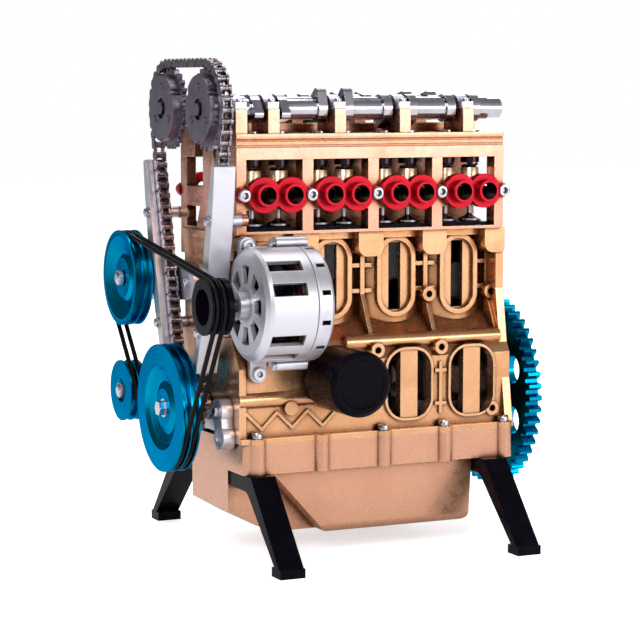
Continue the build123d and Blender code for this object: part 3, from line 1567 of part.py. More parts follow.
def cam_sprocket(side):
    """Cam sprocket with the phaser disc, its screws and the centre bolt."""
    y = side * cam_half_spacing
    rear = chain_x + sprocket_thickness / 2
    front = chain_x - sprocket_thickness / 2
    sprocket = section_x(Pos(y, cam_height) * sprocket_outline(cam_sprocket_teeth, cam_pitch_radius), front,
                         rear)
    face = front - phaser_thickness
    disc = along_x(phaser_radius, (face, front), y, cam_height)
    disc = disc - along_x(phaser_recess_radius, (face - cut_overrun, face + phaser_recess_depth), y,
                          cam_height)
    shank = cam_journal_radius / 2
    pieces = []
    holes = []
    for k in range(phaser_screw_count):
        angle = 2 * pi * k / phaser_screw_count + pi / 2
        place = (y + phaser_screw_circle * cos(angle), cam_height + phaser_screw_circle * sin(angle))
        holes.append(along_x(phaser_screw_radius + press_gap,
                             (face - cut_overrun, face + phaser_thickness / 2), *place))
        pieces.append(along_x(phaser_screw_radius, (face - phaser_screw_proud, face + phaser_thickness / 2),
                              *place))
        angle = angle + pi / phaser_screw_count
        holes.append(along_x(phaser_notch_radius, (face - cut_overrun, front + cut_overrun),
                             y + phaser_radius * cos(angle), cam_height + phaser_radius * sin(angle)))
    disc = cut(disc, holes)
    bolt_front = face + phaser_recess_depth - phaser_bolt_height
    bolt = hex_bolt_x(bolt_front, y, cam_height, phaser_bolt_radius, phaser_bolt_height, shank,
                      phaser_thickness - phaser_recess_depth + sprocket_thickness)
    hole = along_x(shank + press_gap, (face, rear + cut_overrun), y, cam_height)
    return [sprocket - hole, disc - hole, bolt] + pieces


def crank_sprocket():
    """Small sprocket on the crankshaft's nose, with its hub."""
    front = chain_x - sprocket_thickness / 2
    rear = chain_x + sprocket_thickness / 2
    body = section_x(Pos(0, crank_height) * sprocket_outline(crank_sprocket_teeth, crank_pitch_radius),
                     front, rear)
    body = body + along_x(crank_hub_radius, (pulley_front_x + pulley_thickness, block_front_x - end_gap), 0,
                          crank_height)
    bore = (pulley_front_x, column_x[0])
    return [body - along_x(crank_nose_radius + press_gap, bore, 0, crank_height)]


def chain_plate(pitch, holes_radius, low, high):
    """Pair of link plates' shape between two X limits, holes at both ends."""
    plate = section_x(Circle(chain_plate_radius) + Pos(pitch, 0) * Circle(chain_plate_radius)
                      + Pos(pitch / 2, 0) * Rectangle(pitch, 2 * chain_plate_waist), low, high)
    if holes_radius:
        for y in (0, pitch):
            plate = plate - along_x(holes_radius, (low - cut_overrun, high + cut_overrun), y, 0)
    return plate


def timing_chain():
    """Roller chain: inner links with rollers, outer links with pins."""
    points, pitch = chain_points(loop_pieces(chain_wheels))
    inner = chain_inner_width / 2
    middle = inner + chain_plate_thickness
    bore = chain_pin_radius + chain_pin_gap
    roller_link = chain_plate(pitch, bore, -middle, -inner) + chain_plate(pitch, bore, inner, middle)
    for y in (0, pitch):
        roller = along_x(chain_roller_radius, (-inner, inner), y, 0)
        roller_link = roller_link + (roller - along_x(bore, (-middle, middle), y, 0))
    pin_link = chain_plate(pitch, 0, -chain_half_width, -middle) + chain_plate(pitch, 0, middle,
                                                                               chain_half_width)
    for y in (0, pitch):
        pin_link = pin_link + along_x(chain_pin_radius, (-chain_half_width, chain_half_width), y, 0)
    print("chain links", len(points), "pitch", round(pitch, 4))
    links = []
    for index, (here, there) in enumerate(zip(points, points[1:] + points[:1])):
        angle = degrees(atan2(there[1] - here[1], there[0] - here[0]))
        link = roller_link if index % 2 == 0 else pin_link
        links.append(Pos(chain_x, *here) * Rot(angle, 0, 0) * link)
    return links


def guide_point(side, share, off):
    """Point at a share of the chain's side run from its top, moved outwards from it."""
    leave, arrive, _ = loop_runs(chain_wheels)[0 if side > 0 else 2]
    top, low = (arrive, leave) if side > 0 else (leave, arrive)
    length = hypot(low[0] - top[0], low[1] - top[1])
    way = ((low[0] - top[0]) / length, (low[1] - top[1]) / length)
    outward = (-side * way[1], side * way[0])
    along = length * share
    return top[0] + way[0] * along + outward[0] * off, top[1] + way[1] * along + outward[1] * off


def guide_screw_places(side):
    """Centres of the two screws of a guide."""
    off = chain_plate_radius + guide_chain_gap + guide_screw_inset
    return [guide_point(side, share, off) for share in guide_screw_shares]


def chain_guide(side):
    """Guide with a straight face along the chain, a bowed back and two screw lugs."""
    inner = chain_plate_radius + guide_chain_gap
    outer = inner + guide_end_thickness
    middle_share = (guide_start_share + guide_end_share) / 2
    start = guide_point(side, guide_start_share, inner)
    end = guide_point(side, guide_end_share, inner)
    back = [guide_point(side, guide_end_share, outer), guide_point(side, middle_share, outer + guide_bow),
            guide_point(side, guide_start_share, outer)]
    edges = [Line(start, end), Line(end, back[0]), ThreePointArc(*back), Line(back[2], start)]
    body = section_x(make_face(Wire([edge.edge() for edge in edges])), guide_front_x, guide_rear_x)
    lugs = [along_x(guide_lug_radius, (guide_rear_x - guide_lug_overlap, seat), *place)
            for place, seat in zip(guide_screw_places(side), (head_front_x, block_front_x))]
    holes = [along_x(guide_screw_radius + press_gap,
                     (guide_front_x - cut_overrun, head_front_x + cut_overrun), *place)
             for place in guide_screw_places(side)]
    return [cut(joined(body, lugs), holes)]


def front_screws():
    """Screws of the guides, of the oil pump cover and of the two pulley carriers."""
    screws = []
    for side in (-1, 1):
        for (y, z), seat in zip(guide_screw_places(side), (head_front_x, block_front_x)):
            screws.append(hex_bolt_x(guide_front_x - guide_screw_head_height, y, z, guide_screw_head_radius,
                                     guide_screw_head_height, guide_screw_radius, seat - guide_front_x))
    cover_front = block_front_x - oil_pump_thickness
    screws.append(hex_bolt_x(cover_front - guide_screw_head_height, oil_pump_high_y, oil_pump_high_z,
                             guide_screw_head_radius, guide_screw_head_height, guide_screw_radius,
                             oil_pump_thickness))
    arm_front = block_front_x - carrier_arm_thickness
    for y, z in ((carrier_arm_foot_y, water_pulley_z), (idler_arm_foot_y, idler_arm_foot_z)):
        screws.append(hex_bolt_x(arm_front - guide_screw_head_height, y, z, guide_screw_head_radius,
                                 guide_screw_head_height, guide_screw_radius, carrier_arm_thickness))
    return screws


# Belt drive

def grooved_pulley(front, length, radius, y, z, hub_points, grooves):
    """Pulley with round belt grooves; hub_points shape its front face from rim to axis."""
    rear = front + length
    floor = radius - belt_inset - belt_radius - belt_gap
    rim = [(rear, 0), (rear, radius)]
    for x in sorted(grooves, reverse=True):
        rim += [(x + groove_half_top, radius), (x + groove_half_bottom, floor),
                (x - groove_half_bottom, floor), (x - groove_half_top, radius)]
    rim.append((front, radius))
    return turned_x(rim + hub_points, y, z)


def crank_pulley():
    """Big pulley with a stepped front face."""
    front = pulley_front_x
    radius = crank_pulley_radius
    rim, ring, well, hub = (radius * share for share in crank_pulley_face_shares)
    points = [(front, rim), (front + pulley_dish_depth / 2, ring), (front + pulley_dish_depth, well),
              (front + pulley_dish_depth / 2, hub), (front + pulley_dish_depth / 2, 0)]
    pulley = grooved_pulley(front, pulley_thickness, radius, 0, crank_height, points, groove_x)
    bore = (front + pulley_dish_depth / 2 - cut_overrun, front + pulley_thickness + cut_overrun)
    return [pulley - along_x(crank_nose_radius + press_gap, bore, 0, crank_height)]


def crank_bolt():
    """Bolt that holds the crank pulley, its washer part of the head."""
    seat = pulley_front_x + pulley_dish_depth / 2
    return section_x(Pos(0, crank_height) * RegularPolygon(pulley_bolt_radius, 6), seat - pulley_bolt_height,
                     seat) + along_x(crank_nose_radius, (seat, pulley_front_x + pulley_dish_depth), 0,
                                     crank_height)


def water_pump_pulley():
    """Dished pulley of the water pump, with its bolt."""
    front = pulley_front_x
    radius = water_pulley_radius
    rim, well, hub = (radius * share for share in water_pulley_face_shares)
    points = [(front, rim), (front + pulley_dish_depth, well), (front + pulley_dish_depth / 2, hub),
              (front + pulley_dish_depth / 2, 0)]
    pulley = grooved_pulley(front, pulley_thickness, radius, water_pulley_y, water_pulley_z, points, groove_x)
    bore = (front - cut_overrun, front + pulley_thickness + cut_overrun)
    return [pulley - along_x(stud_radius + running_gap, bore, water_pulley_y, water_pulley_z)]


def idler_pulley():
    """Small idler that presses on the back of the belts."""
    front = pulley_front_x
    radius = idler_radius
    rim, hub = (radius * share for share in idler_face_shares)
    points = [(front, rim), (front + pulley_dish_depth / 2, hub), (front + pulley_dish_depth / 2, 0)]
    pulley = grooved_pulley(front, pulley_thickness, radius, idler_y, idler_z, points, groove_x)
    bore = (front - cut_overrun, front + pulley_thickness + cut_overrun)
    return [pulley - along_x(stud_radius + running_gap, bore, idler_y, idler_z)]


def alternator_pulley():
    """Black cup pulley on the alternator's shaft."""
    front = pulley_front_x
    radius = alternator_pulley_radius
    inner = radius - belt_inset - belt_radius - belt_gap - alternator_pulley_wall
    floor = front + alternator_pulley_cup_depth
    points = [(front, inner), (floor, inner), (floor, 0)]
    pulley = grooved_pulley(front, alternator_pulley_length, radius, alternator_y, alternator_z, points,
                            groove_x)
    bore = (front, front + alternator_pulley_length + cut_overrun)
    return [pulley - along_x(alternator_shaft_radius + press_gap, bore, alternator_y, alternator_z)]


def drive_belts():
    """Two round belts in the pulleys' grooves."""
    belts = []
    pieces = loop_pieces(belt_wheels)
    for x in groove_x:
        path = loop_wire(pieces, x)
        start = Plane(origin=path @ 0, z_dir=path % 0)
        belts.append(sweep(start * Circle(belt_radius), path=path))
    return belts


def pulley_carrier(y, z, body_radius, foot, body_front):
    """Arm on the block's front face with a round boss and a stud for a pulley."""
    arm_front = block_front_x - carrier_arm_thickness
    arm = section_x(tapered_link(foot, carrier_arm_radius, (y, z), body_radius), arm_front, block_front_x)
    boss = along_x(body_radius, (body_front, block_front_x), y, z)
    stud = along_x(stud_radius, (pulley_front_x - stud_proud, block_front_x), y, z)
    head_rear = pulley_front_x + pulley_dish_depth / 2 - end_gap
    head = along_x(pulley_bolt_radius, (pulley_front_x - stud_proud, head_rear), y, z)
    hole = along_x(guide_screw_radius + press_gap, (arm_front - cut_overrun, block_front_x + cut_overrun),
                   *foot)
    return joined(arm, [boss, stud, head]) - hole


def water_pump_housing():
    """Ribbed pump housing on its arm, with the stud that carries the pulley."""
    body_front = pulley_front_x + pulley_thickness + pump_body_front_gap
    body = pulley_carrier(water_pulley_y, water_pulley_z, pump_body_radius,
                          (carrier_arm_foot_y, water_pulley_z),
                          body_front)
    for k in range(pump_fin_count):
        angle = 2 * pi * k / pump_fin_count
        y = water_pulley_y + pump_body_radius * cos(angle)
        z = water_pulley_z + pump_body_radius * sin(angle)
        body = body - along_x(pump_fin_depth,
                              (body_front - cut_overrun, block_front_x - carrier_arm_thickness), y, z)
    return [body]


def idler_bracket():
    """Arm and stud of the idler pulley."""
    body_front = pulley_front_x + pulley_thickness + pump_body_front_gap
    return [pulley_carrier(idler_y, idler_z, idler_boss_radius, (idler_arm_foot_y, idler_arm_foot_z),
                           body_front)]


# Alternator

def alternator_ear(x, z, root_z):
    """Ear that is bolted to the block, on the side of the front housing."""
    outline = tapered_link((x, z), ear_radius, (x, root_z), ear_radius)
    return section_y(outline, ear_outer_y, ear_inner_y)


def sector(inner, outer, angle, half_angle, y, z):
    """Outline between two radii, about an angle from -Y turned towards +Z."""
    def point(radius, turn):
        direction = radians(180 - angle - turn)
        return y + radius * cos(direction), z + radius * sin(direction)

    edges = [Line(point(inner, -half_angle), point(outer, -half_angle)),
             ThreePointArc(point(outer, -half_angle), point(outer, 0), point(outer, half_angle)),
             Line(point(outer, half_angle), point(inner, half_angle)),
             ThreePointArc(point(inner, half_angle), point(inner, 0), point(inner, -half_angle))]
    return make_face(Wire([edge.edge() for edge in edges]))


def alternator_lug_places():
    """Centres of the through bolts of the alternator."""
    return [(alternator_y, alternator_z + way * alternator_lug_offset) for way in (-1, 1)]


def alternator_front_housing():
    """Front housing with air slots, shaft boss, ears and bolt lugs."""
    y, z = alternator_y, alternator_z
    radius, wall = alternator_radius, alternator_wall
    front, seam = alternator_front_x, alternator_seam_x
    outside = [(front, 0), (front, alternator_face_radius), (front + alternator_shoulder / 2,
                                                             radius - wall / 2),
               (front + alternator_shoulder, radius), (seam, radius), (seam, 0)]
    hollow = [(front + wall, 0), (front + wall, alternator_face_radius - wall),
              (front + alternator_shoulder, radius - wall), (seam + cut_overrun, radius - wall),
              (seam + cut_overrun, 0)]
    pieces = [along_x(alternator_boss_radius, (front - alternator_boss_length, front + wall), y, z),
              alternator_ear(column_x[0], top_ear_z - ear_radius, top_ear_z - ear_radius - ear_root_drop),
              alternator_ear(low_ear_x, low_ear_z, low_ear_z + ear_root_drop)]
    pieces += [along_x(alternator_lug_radius, (front + alternator_lug_front_inset, seam), *place)
               for place in alternator_lug_places()]
    body = joined(turned_x(outside, y, z), pieces)
    cuts = [turned_x(hollow, y, z)]
    for angle in alternator_side_slots_angles:
        slot = sector(radius - 2 * wall, radius + cut_overrun, angle, alternator_side_slot_half_angle, y, z)
        low = front + alternator_shoulder
        cuts.append(section_x(slot, low, low + alternator_side_slot_length))
    for k in range(alternator_face_slots):
        slot = sector(alternator_face_slot_inner, alternator_face_slot_outer, 360 * k / alternator_face_slots,
                      alternator_face_slot_half_angle, y, z)
        cuts.append(section_x(slot, front - cut_overrun, front + wall + cut_overrun))
    cuts.append(along_x(alternator_shaft_radius + running_gap,
                        (front - alternator_boss_length - cut_overrun, front + wall + cut_overrun), y, z))
    for x, ear_z in ((column_x[0], top_ear_z - ear_radius), (low_ear_x, low_ear_z)):
        cuts.append(along_y(ear_hole_radius, x, (ear_outer_y - cut_overrun, ear_inner_y + cut_overrun),
                            ear_z))
        head_limits = (ear_outer_y - ear_screw_head_height - end_gap, ear_outer_y)
        cuts.append(along_y(ear_screw_head_radius + running_gap, x, head_limits, ear_z))
    for lug_y, lug_z in alternator_lug_places():
        cuts.append(along_x(alternator_lug_bolt_radius + press_gap, (front, seam + cut_overrun), lug_y,
                            lug_z))
        cuts.append(along_x(alternator_lug_radius + running_gap,
                            (front - cut_overrun, front + alternator_lug_front_inset), lug_y, lug_z))
    return [cut(body, cuts)]


def alternator_rear_housing():
    """Rear housing with small air slots and bolt lugs."""
    y, z = alternator_y, alternator_z
    radius, wall = alternator_radius, alternator_wall
    seam, rear = alternator_seam_x, alternator_rear_x
    shell = [(seam, radius - wall), (seam, radius - alternator_seam_groove),
             (seam + alternator_seam_groove, radius), (rear - alternator_shoulder / 2, radius),
             (rear, radius - alternator_shoulder / 2), (rear, 0), (rear - wall, 0), (rear - wall,
                                                                                     radius - wall)]
    body = turned_x(shell, y, z)
    for lug_y, lug_z in alternator_lug_places():
        body = body + along_x(alternator_lug_radius, (seam, rear - alternator_lug_rear_inset / 2), lug_y,
                              lug_z)
    cuts = [along_x(alternator_shaft_radius + running_gap, (rear - 2 * wall, rear + cut_overrun), y, z)]
    for k in range(alternator_rear_slots):
        angle = 360 * (k + 0.5) / alternator_rear_slots
        half = degrees(alternator_rear_slot_width / 2 / radius)
        slot = sector(radius - 2 * wall, radius + cut_overrun, angle, half, y, z)
        cuts.append(section_x(slot, rear - wall - alternator_rear_slot_length, rear - wall))
    for lug_y, lug_z in alternator_lug_places():
        cuts.append(along_x(alternator_lug_bolt_radius + press_gap, (seam - cut_overrun, rear), lug_y, lug_z))
    return [cut(body, cuts)]


def alternator_stator():
    """Laminated ring inside the housings."""
    outer = alternator_radius - alternator_wall - stator_outer_gap
    middle = alternator_seam_x
    ring = along_x(outer, (middle - stator_length / 2, middle + stator_length / 2 - alternator_wall),
                   alternator_y, alternator_z)
    return [ring - along_x(stator_inner_radius, (alternator_front_x, alternator_rear_x), alternator_y,
                           alternator_z)]


def alternator_rotor():
    """Shaft, claw pole body and fan."""
    y, z = alternator_y, alternator_z
    middle = alternator_seam_x - alternator_wall / 2
    body_limits = (middle - rotor_length / 2, middle + rotor_length / 2 - alternator_wall)
    shaft = along_x(alternator_shaft_radius,
                    (pulley_front_x + alternator_pulley_cup_depth - pulley_bolt_height,
                                             alternator_rear_x - end_gap), y, z)
    claws = along_x(rotor_radius, body_limits, y, z)
    for k in range(rotor_claws):
        angle = 2 * pi * k / rotor_claws
        place = (y + rotor_radius * cos(angle), z + rotor_radius * sin(angle))
        claws = claws - along_x(rotor_claw_gap,
                                (body_limits[0] - cut_overrun, body_limits[1] + cut_overrun), *place)
    fan_front = alternator_front_x + alternator_wall + end_gap
    fan_limits = (fan_front + rotor_fan_blade_height,
                  fan_front + rotor_fan_blade_height + rotor_fan_thickness)
    fan = along_x(rotor_fan_radius, fan_limits, y, z)
    for k in range(rotor_fan_blades):
        blade = sector(alternator_boss_radius, rotor_fan_radius - end_gap, 360 * (k + 0.5) / rotor_fan_blades,
                       rotor_fan_blade_half_angle, y, z)
        fan = fan + section_x(blade, fan_front, fan_limits[0] + rotor_fan_thickness / 2)
    return [shaft + claws + fan]


def alternator_bolts():
    """Through bolts of the alternator and the screws of its ears."""
    bolts = []
    front = alternator_front_x + alternator_lug_front_inset
    for y, z in alternator_lug_places():
        bolts.append(hex_bolt_x(front - guide_screw_head_height, y, z, alternator_lug_radius,
                                guide_screw_head_height, alternator_lug_bolt_radius,
                                alternator_rear_x - alternator_lug_rear_inset / 2 - front))
    for x, z in ((column_x[0], top_ear_z - ear_radius), (low_ear_x, low_ear_z)):
        bolts.append(socket_screw_y(x, -ear_outer_y, -1, z, ear_screw_head_radius, ear_screw_head_height,
                                    ear_hole_radius - press_gap,
                                    ear_inner_y - ear_outer_y + side_boss_hole_depth / 2))
    return bolts


# Oil filter, oil pump cover, flywheel and starter

def oil_filter():
    """Black filter can on its round seat."""
    points = [(0, -filter_base), (filter_radius - filter_corner, -filter_base),
              (filter_radius, -filter_base - filter_corner), (filter_radius, filter_corner - filter_end),
              (filter_radius - filter_corner, -filter_end),
              (filter_radius - 2 * filter_corner, -filter_end),
              (filter_radius - 2 * filter_corner - filter_step, filter_step - filter_end),
              (0, filter_step - filter_end)]
    return [turned_y(points, filter_x, filter_z)]


def oil_pump_cover():
    """Figure of eight cover beside the crank pulley."""
    high = (oil_pump_high_y, oil_pump_high_z)
    low = (oil_pump_low_y, oil_pump_low_z)
    front = block_front_x - oil_pump_thickness
    neck = tapered_link(high, oil_pump_neck_radius, low, oil_pump_neck_radius)
    body = joined(section_x(neck, front, block_front_x),
                  [along_x(oil_pump_radius, (front, block_front_x), *place) for place in (high, low)])
    pocket = along_x(oil_pump_pocket_radius, (front - cut_overrun, front + oil_pump_pocket_depth), *low)
    hole = along_x(guide_screw_radius + press_gap, (front - cut_overrun, block_front_x + cut_overrun), *high)
    return [body - pocket - hole]


def gear_outline(teeth):
    """Spur gear outline with involute flanks drawn as arcs."""
    pitch_radius = gear_module * teeth / 2
    tip = pitch_radius + gear_module * gear_addendum_share
    root = pitch_radius - gear_module * gear_dedendum_share
    pressure = radians(gear_pressure_angle)
    base = pitch_radius * cos(pressure)

    def involute(radius):
        angle = acos(min(1, base / radius))
        return tan(angle) - angle

    half_pitch_angle = pi / 2 / teeth - gear_backlash / 2 / (2 * pitch_radius)

    def flank(radius, centre, way):
        turn = centre + way * (half_pitch_angle + involute(pitch_radius) - involute(max(radius, base)))
        return radius * cos(turn), radius * sin(turn)

    edges = []
    for tooth in range(teeth):
        centre = 2 * pi * tooth / teeth
        after = 2 * pi * (tooth + 1) / teeth
        rise = [flank(radius, centre, -1) for radius in (root, pitch_radius, tip)]
        fall = [flank(radius, centre, 1) for radius in (tip, pitch_radius, root)]
        crest = (tip * cos(centre), tip * sin(centre))
        valley_turn = (centre + after) / 2
        valley = (root * cos(valley_turn), root * sin(valley_turn))
        edges += [ThreePointArc(*rise), ThreePointArc(rise[2], crest, fall[0]), ThreePointArc(*fall),
                  ThreePointArc(fall[2], valley, flank(root, after, -1))]
    return make_face(Wire([edge.edge() for edge in edges]))


def flywheel():
    """Flywheel with ring gear teeth and round lightening holes."""
    front, rear = flywheel_front_x, flywheel_front_x + flywheel_thickness
    body = section_x(Pos(0, crank_height) * gear_outline(flywheel_teeth), front, rear)
    recess = along_x(flywheel_rim_inner, (rear - flywheel_web_recess, rear + cut_overrun), 0, crank_height)
    recess = recess - along_x(flywheel_web_inner, (front, rear + 2 * cut_overrun), 0, crank_height)
    body = body - recess
    body = body + along_x(flywheel_boss_radius, (rear - flywheel_web_recess, rear + flywheel_boss_proud), 0,
                          crank_height)
    for k in range(flywheel_hole_count):
        angle = 2 * pi * (k + 0.5) / flywheel_hole_count
        body = body - along_x(flywheel_hole_radius, (front - cut_overrun, rear + cut_overrun),
                              flywheel_hole_circle * cos(angle),
                              crank_height + flywheel_hole_circle * sin(angle))
    for y, z in flywheel_screw_places():
        body = body - along_x(flywheel_screw_radius + press_gap,
                              (front - cut_overrun, rear + 2 * cut_overrun), y, z)
    return [body]


def flywheel_screw_places():
    """Centres of the flywheel's screws."""
    turns = [2 * pi * k / flywheel_screw_count for k in range(flywheel_screw_count)]
    return [(flywheel_screw_circle * cos(turn),
             crank_height + flywheel_screw_circle * sin(turn)) for turn in turns]


def crank_fasteners():
    """Front bolt of the crank pulley and the flywheel's screws."""
    seat = flywheel_front_x + flywheel_thickness + flywheel_boss_proud
    length = flywheel_thickness + flywheel_boss_proud
    screws = [crank_bolt()]
    for y, z in flywheel_screw_places():
        head = along_x(flywheel_screw_head_radius, (seat, seat + flywheel_screw_head_height), y, z)
        screws.append(head + along_x(flywheel_screw_radius, (seat - length, seat), y, z))
    return screws


def starter_motor():
    """Electric motor on the rear plate's lobe, its shaft towards the flywheel."""
    y, z = starter_y, starter_z
    face = block_rear_x - rear_plate_thickness
    low = face - starter_motor_length
    corner = starter_motor_corner
    points = [(low - starter_tail_length, 0), (low - starter_tail_length, starter_tail_radius),
              (low, starter_tail_radius), (low, starter_motor_radius - corner), (low + corner,
                                                                                 starter_motor_radius),
              (face, starter_motor_radius), (face, starter_nose_radius), (block_rear_x + end_gap,
                                                                          starter_nose_radius),
              (block_rear_x + end_gap, starter_shaft_radius),
              (flywheel_front_x + flywheel_thickness,
               starter_shaft_radius), (flywheel_front_x + flywheel_thickness, 0)]
    return [turned_x(points, y, z)]


def starter_pinion():
    """Pinion in mesh with the flywheel's ring gear."""
    turn = degrees(atan2(starter_z - crank_height, starter_y))
    flywheel_phase = turn / (360 / flywheel_teeth) % 1
    pinion_turn = turn + 180 + (0.5 + flywheel_phase) * 360 / starter_teeth
    outline = Pos(starter_y, starter_z) * Rot(0, 0, pinion_turn) * gear_outline(starter_teeth)
    low = flywheel_front_x
    pinion = section_x(outline, low, low + flywheel_thickness)
    return [pinion - along_x(starter_shaft_radius + running_gap,
                             (low - cut_overrun, low + 2 * flywheel_thickness),
                             starter_y, starter_z)]


# Every node and its solids

nodes = {
    "cylinder_block": cylinder_block, "oil_pan": oil_pan, "pan_and_leg_screws": pan_and_leg_screws,
    "support_legs": support_legs, "main_bearing_caps": main_bearing_caps, "main_cap_screws": main_cap_screws,
    "seat_plate": seat_plate, "cylinder_head": cylinder_head, "cam_carrier": cam_carrier,
    "cam_caps": cam_caps,
    "cam_cap_screws": cam_cap_screws, "port_screws": port_screws, "valve_springs": valve_springs,
    "timing_chain": timing_chain, "front_screws": front_screws, "battery_pack": battery_pack,
    "alternator_front_housing": alternator_front_housing, "alternator_rear_housing": alternator_rear_housing,
    "alternator_stator": alternator_stator, "alternator_bolts": alternator_bolts,
    "alternator_rotor": alternator_rotor, "alternator_pulley": alternator_pulley,
    "oil_filter": oil_filter, "oil_pump_cover": oil_pump_cover, "water_pump_housing": water_pump_housing,
    "water_pump_pulley": water_pump_pulley, "idler_bracket": idler_bracket, "idler_pulley": idler_pulley,
    "drive_belts": drive_belts, "starter_motor": starter_motor, "starter_pinion": starter_pinion,
    "crankshaft": crankshaft, "crank_sprocket": crank_sprocket, "crank_pulley": crank_pulley,
    "crank_fasteners": crank_fasteners, "flywheel": flywheel,
}

if __name__ == "__main__":
    os.makedirs("parts", exist_ok=True)
    model = {name: make() for name, make in nodes.items()}
    for side, name, turns in ((-1, "exhaust", exhaust_lobe_turns_share),
                              (1, "intake", intake_lobe_turns_share)):
        model[name + "_ports"] = port_stubs(side)
        model[name + "_camshaft"] = camshaft(side, turns)
        model[name + "_cam_sprocket"] = cam_sprocket(side)
        for index in range(cylinder_count):
            model[f"{name}_valves_{index + 1}"] = valve_pair(index, side)
    for side, name in ((-1, "near"), (1, "far")):
        model["chain_guide_" + name] = chain_guide(side)
    for index in range(cylinder_count):
        model[f"connecting_rod_{index + 1}"] = connecting_rod(index)
        model[f"piston_{index + 1}"] = piston(index)
    for name, solids in model.items():
        shapes = [solid for item in solids for solid in item.solids()]
        export_step(shapes[0] if len(shapes) == 1 else Compound(children=shapes), f"parts/{name}.step")
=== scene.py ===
import json
import math

import bpy
from mathutils import Matrix, Vector


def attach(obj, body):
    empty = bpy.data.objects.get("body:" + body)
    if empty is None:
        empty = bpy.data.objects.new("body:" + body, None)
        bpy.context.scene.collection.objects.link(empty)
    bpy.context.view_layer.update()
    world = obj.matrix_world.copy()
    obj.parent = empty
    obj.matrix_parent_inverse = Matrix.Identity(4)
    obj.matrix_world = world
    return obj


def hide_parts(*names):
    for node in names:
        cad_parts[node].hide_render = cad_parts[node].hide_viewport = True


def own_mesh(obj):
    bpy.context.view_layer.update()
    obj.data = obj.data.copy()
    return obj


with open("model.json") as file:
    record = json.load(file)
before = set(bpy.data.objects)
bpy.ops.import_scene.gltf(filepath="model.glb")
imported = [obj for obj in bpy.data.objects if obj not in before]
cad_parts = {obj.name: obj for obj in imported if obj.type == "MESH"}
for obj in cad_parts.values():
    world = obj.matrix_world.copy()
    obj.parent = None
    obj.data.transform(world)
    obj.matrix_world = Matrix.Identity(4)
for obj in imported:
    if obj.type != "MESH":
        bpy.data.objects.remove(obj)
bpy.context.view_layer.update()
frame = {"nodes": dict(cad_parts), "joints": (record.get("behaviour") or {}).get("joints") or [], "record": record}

MM = 0.001

# Places of the engine, in metres; X runs along the crankshaft and Y from the exhaust to the intake side

axis_of = {joint["name"]: joint["pos_m"] for joint in frame["joints"] if "pos_m" in joint}
CRANK_AXIS = tuple(axis_of["crank_spin"])
WATER_PUMP_AXIS = tuple(axis_of["water_pump_spin"])
IDLER_AXIS = tuple(axis_of["idler_spin"])
CYLINDER_X = [axis_of[f"crankpin_{index}"][0] for index in range(1, 5)]
CYLINDER_PITCH = CYLINDER_X[1] - CYLINDER_X[0]
COLUMN_X = [CYLINDER_X[0] + (k - 0.5) * CYLINDER_PITCH for k in range(len(CYLINDER_X) + 1)]
CAM_HALF_SPACING = axis_of["intake_cam_spin"][1]
VALVE_ROWS = {"exhaust": -CAM_HALF_SPACING, "intake": CAM_HALF_SPACING}
PORT_HALF_SPACING = 4.9 * MM
VALVE_OFFSETS = (-PORT_HALF_SPACING, PORT_HALF_SPACING)
PORT_HEIGHT = 122.7 * MM
PORT_FACE = 27.2 * MM
HEAD_FRONT = -47.5 * MM
BLOCK_FRONT = -48.2 * MM


# Colours

def rgb(red, green, blue):
    """Linear colour from display values of 0 to 255."""
    def linear(value):
        share = value / 255
        return share / 12.92 if share <= 0.04045 else ((share + 0.055) / 1.055) ** 2.4
    return linear(red), linear(green), linear(blue), 1.0


GOLD = rgb(224, 168, 124)
GOLD_DARK = rgb(198, 136, 84)
# Painted shade in the wide hollows of the gold castings
GOLD_SHADE = rgb(168, 108, 54)
# Painted highlight on the edges of the painted castings
GOLD_HIGHLIGHT = rgb(246, 204, 162)
HEAD_GOLD = rgb(216, 154, 132)
HEAD_DARK = rgb(202, 136, 108)
COPPER = rgb(208, 154, 124)
COPPER_DARK = rgb(194, 138, 108)
# Painted shade in the wide hollows of the copper pan
COPPER_SHADE = rgb(136, 86, 54)
# Painted shade in the grooves along the cam carrier
GROOVE_SHADE = rgb(186, 112, 76)
# Painted shade in the inner corners of the painted castings
CORNER_SHADE = rgb(104, 56, 18)
# Painted shade in tight corners, in the head's bays, in the middle of the cam carrier and in its grooves
DEEP_SHADE = rgb(52, 24, 10)
PIT = rgb(14, 8, 8)
BLUE = rgb(0, 146, 184)
BLUE_DARK = rgb(0, 116, 156)
WHITE = (1, 1, 1, 1)

# Limits of the painted shades, with reaches out from the middle plane and heights up from the floor

BORE_HALF_LENGTH = 7.5 * MM
BORE_REACH = 15.0 * MM
BORE_HEIGHTS = (62.0 * MM, 109.3 * MM)
CASE_LENGTH = (-43.7 * MM, 50.7 * MM)
CASE_REACH = 24.2 * MM
CASE_HEIGHTS = (40.3 * MM, 67.0 * MM)
HEAD_LENGTH = (-46.9 * MM, 52.9 * MM)
BAY_REACH = 12.6 * MM
BAY_HEIGHTS = (110.0 * MM, 134.3 * MM)
BAY_SHARE = 0.8
GALLERY_REACH = 11.5 * MM
GALLERY_HEIGHTS = (134.4 * MM, 147.0 * MM)
GALLERY_SHARE = 0.5
CARRIER_FACES = (24.2 * MM, 25.4 * MM)
BAND_HEIGHTS = (139.9 * MM, 141.6 * MM)
BAND_SHARE = 0.85
LINE_HEIGHTS = (140.9 * MM, 141.3 * MM)
LINE_SHARE = 0.8
PORT_BORE = 2.86 * MM
PORT_REACH = 31.6 * MM
STEM_HEIGHTS = (131.6 * MM, 137.0 * MM)

# Materials

# Inputs and output that Blender's mix node uses for colours
MIX_SHARE = 0
MIX_UNDER = 6
MIX_OVER = 7
MIX_RESULT = 2

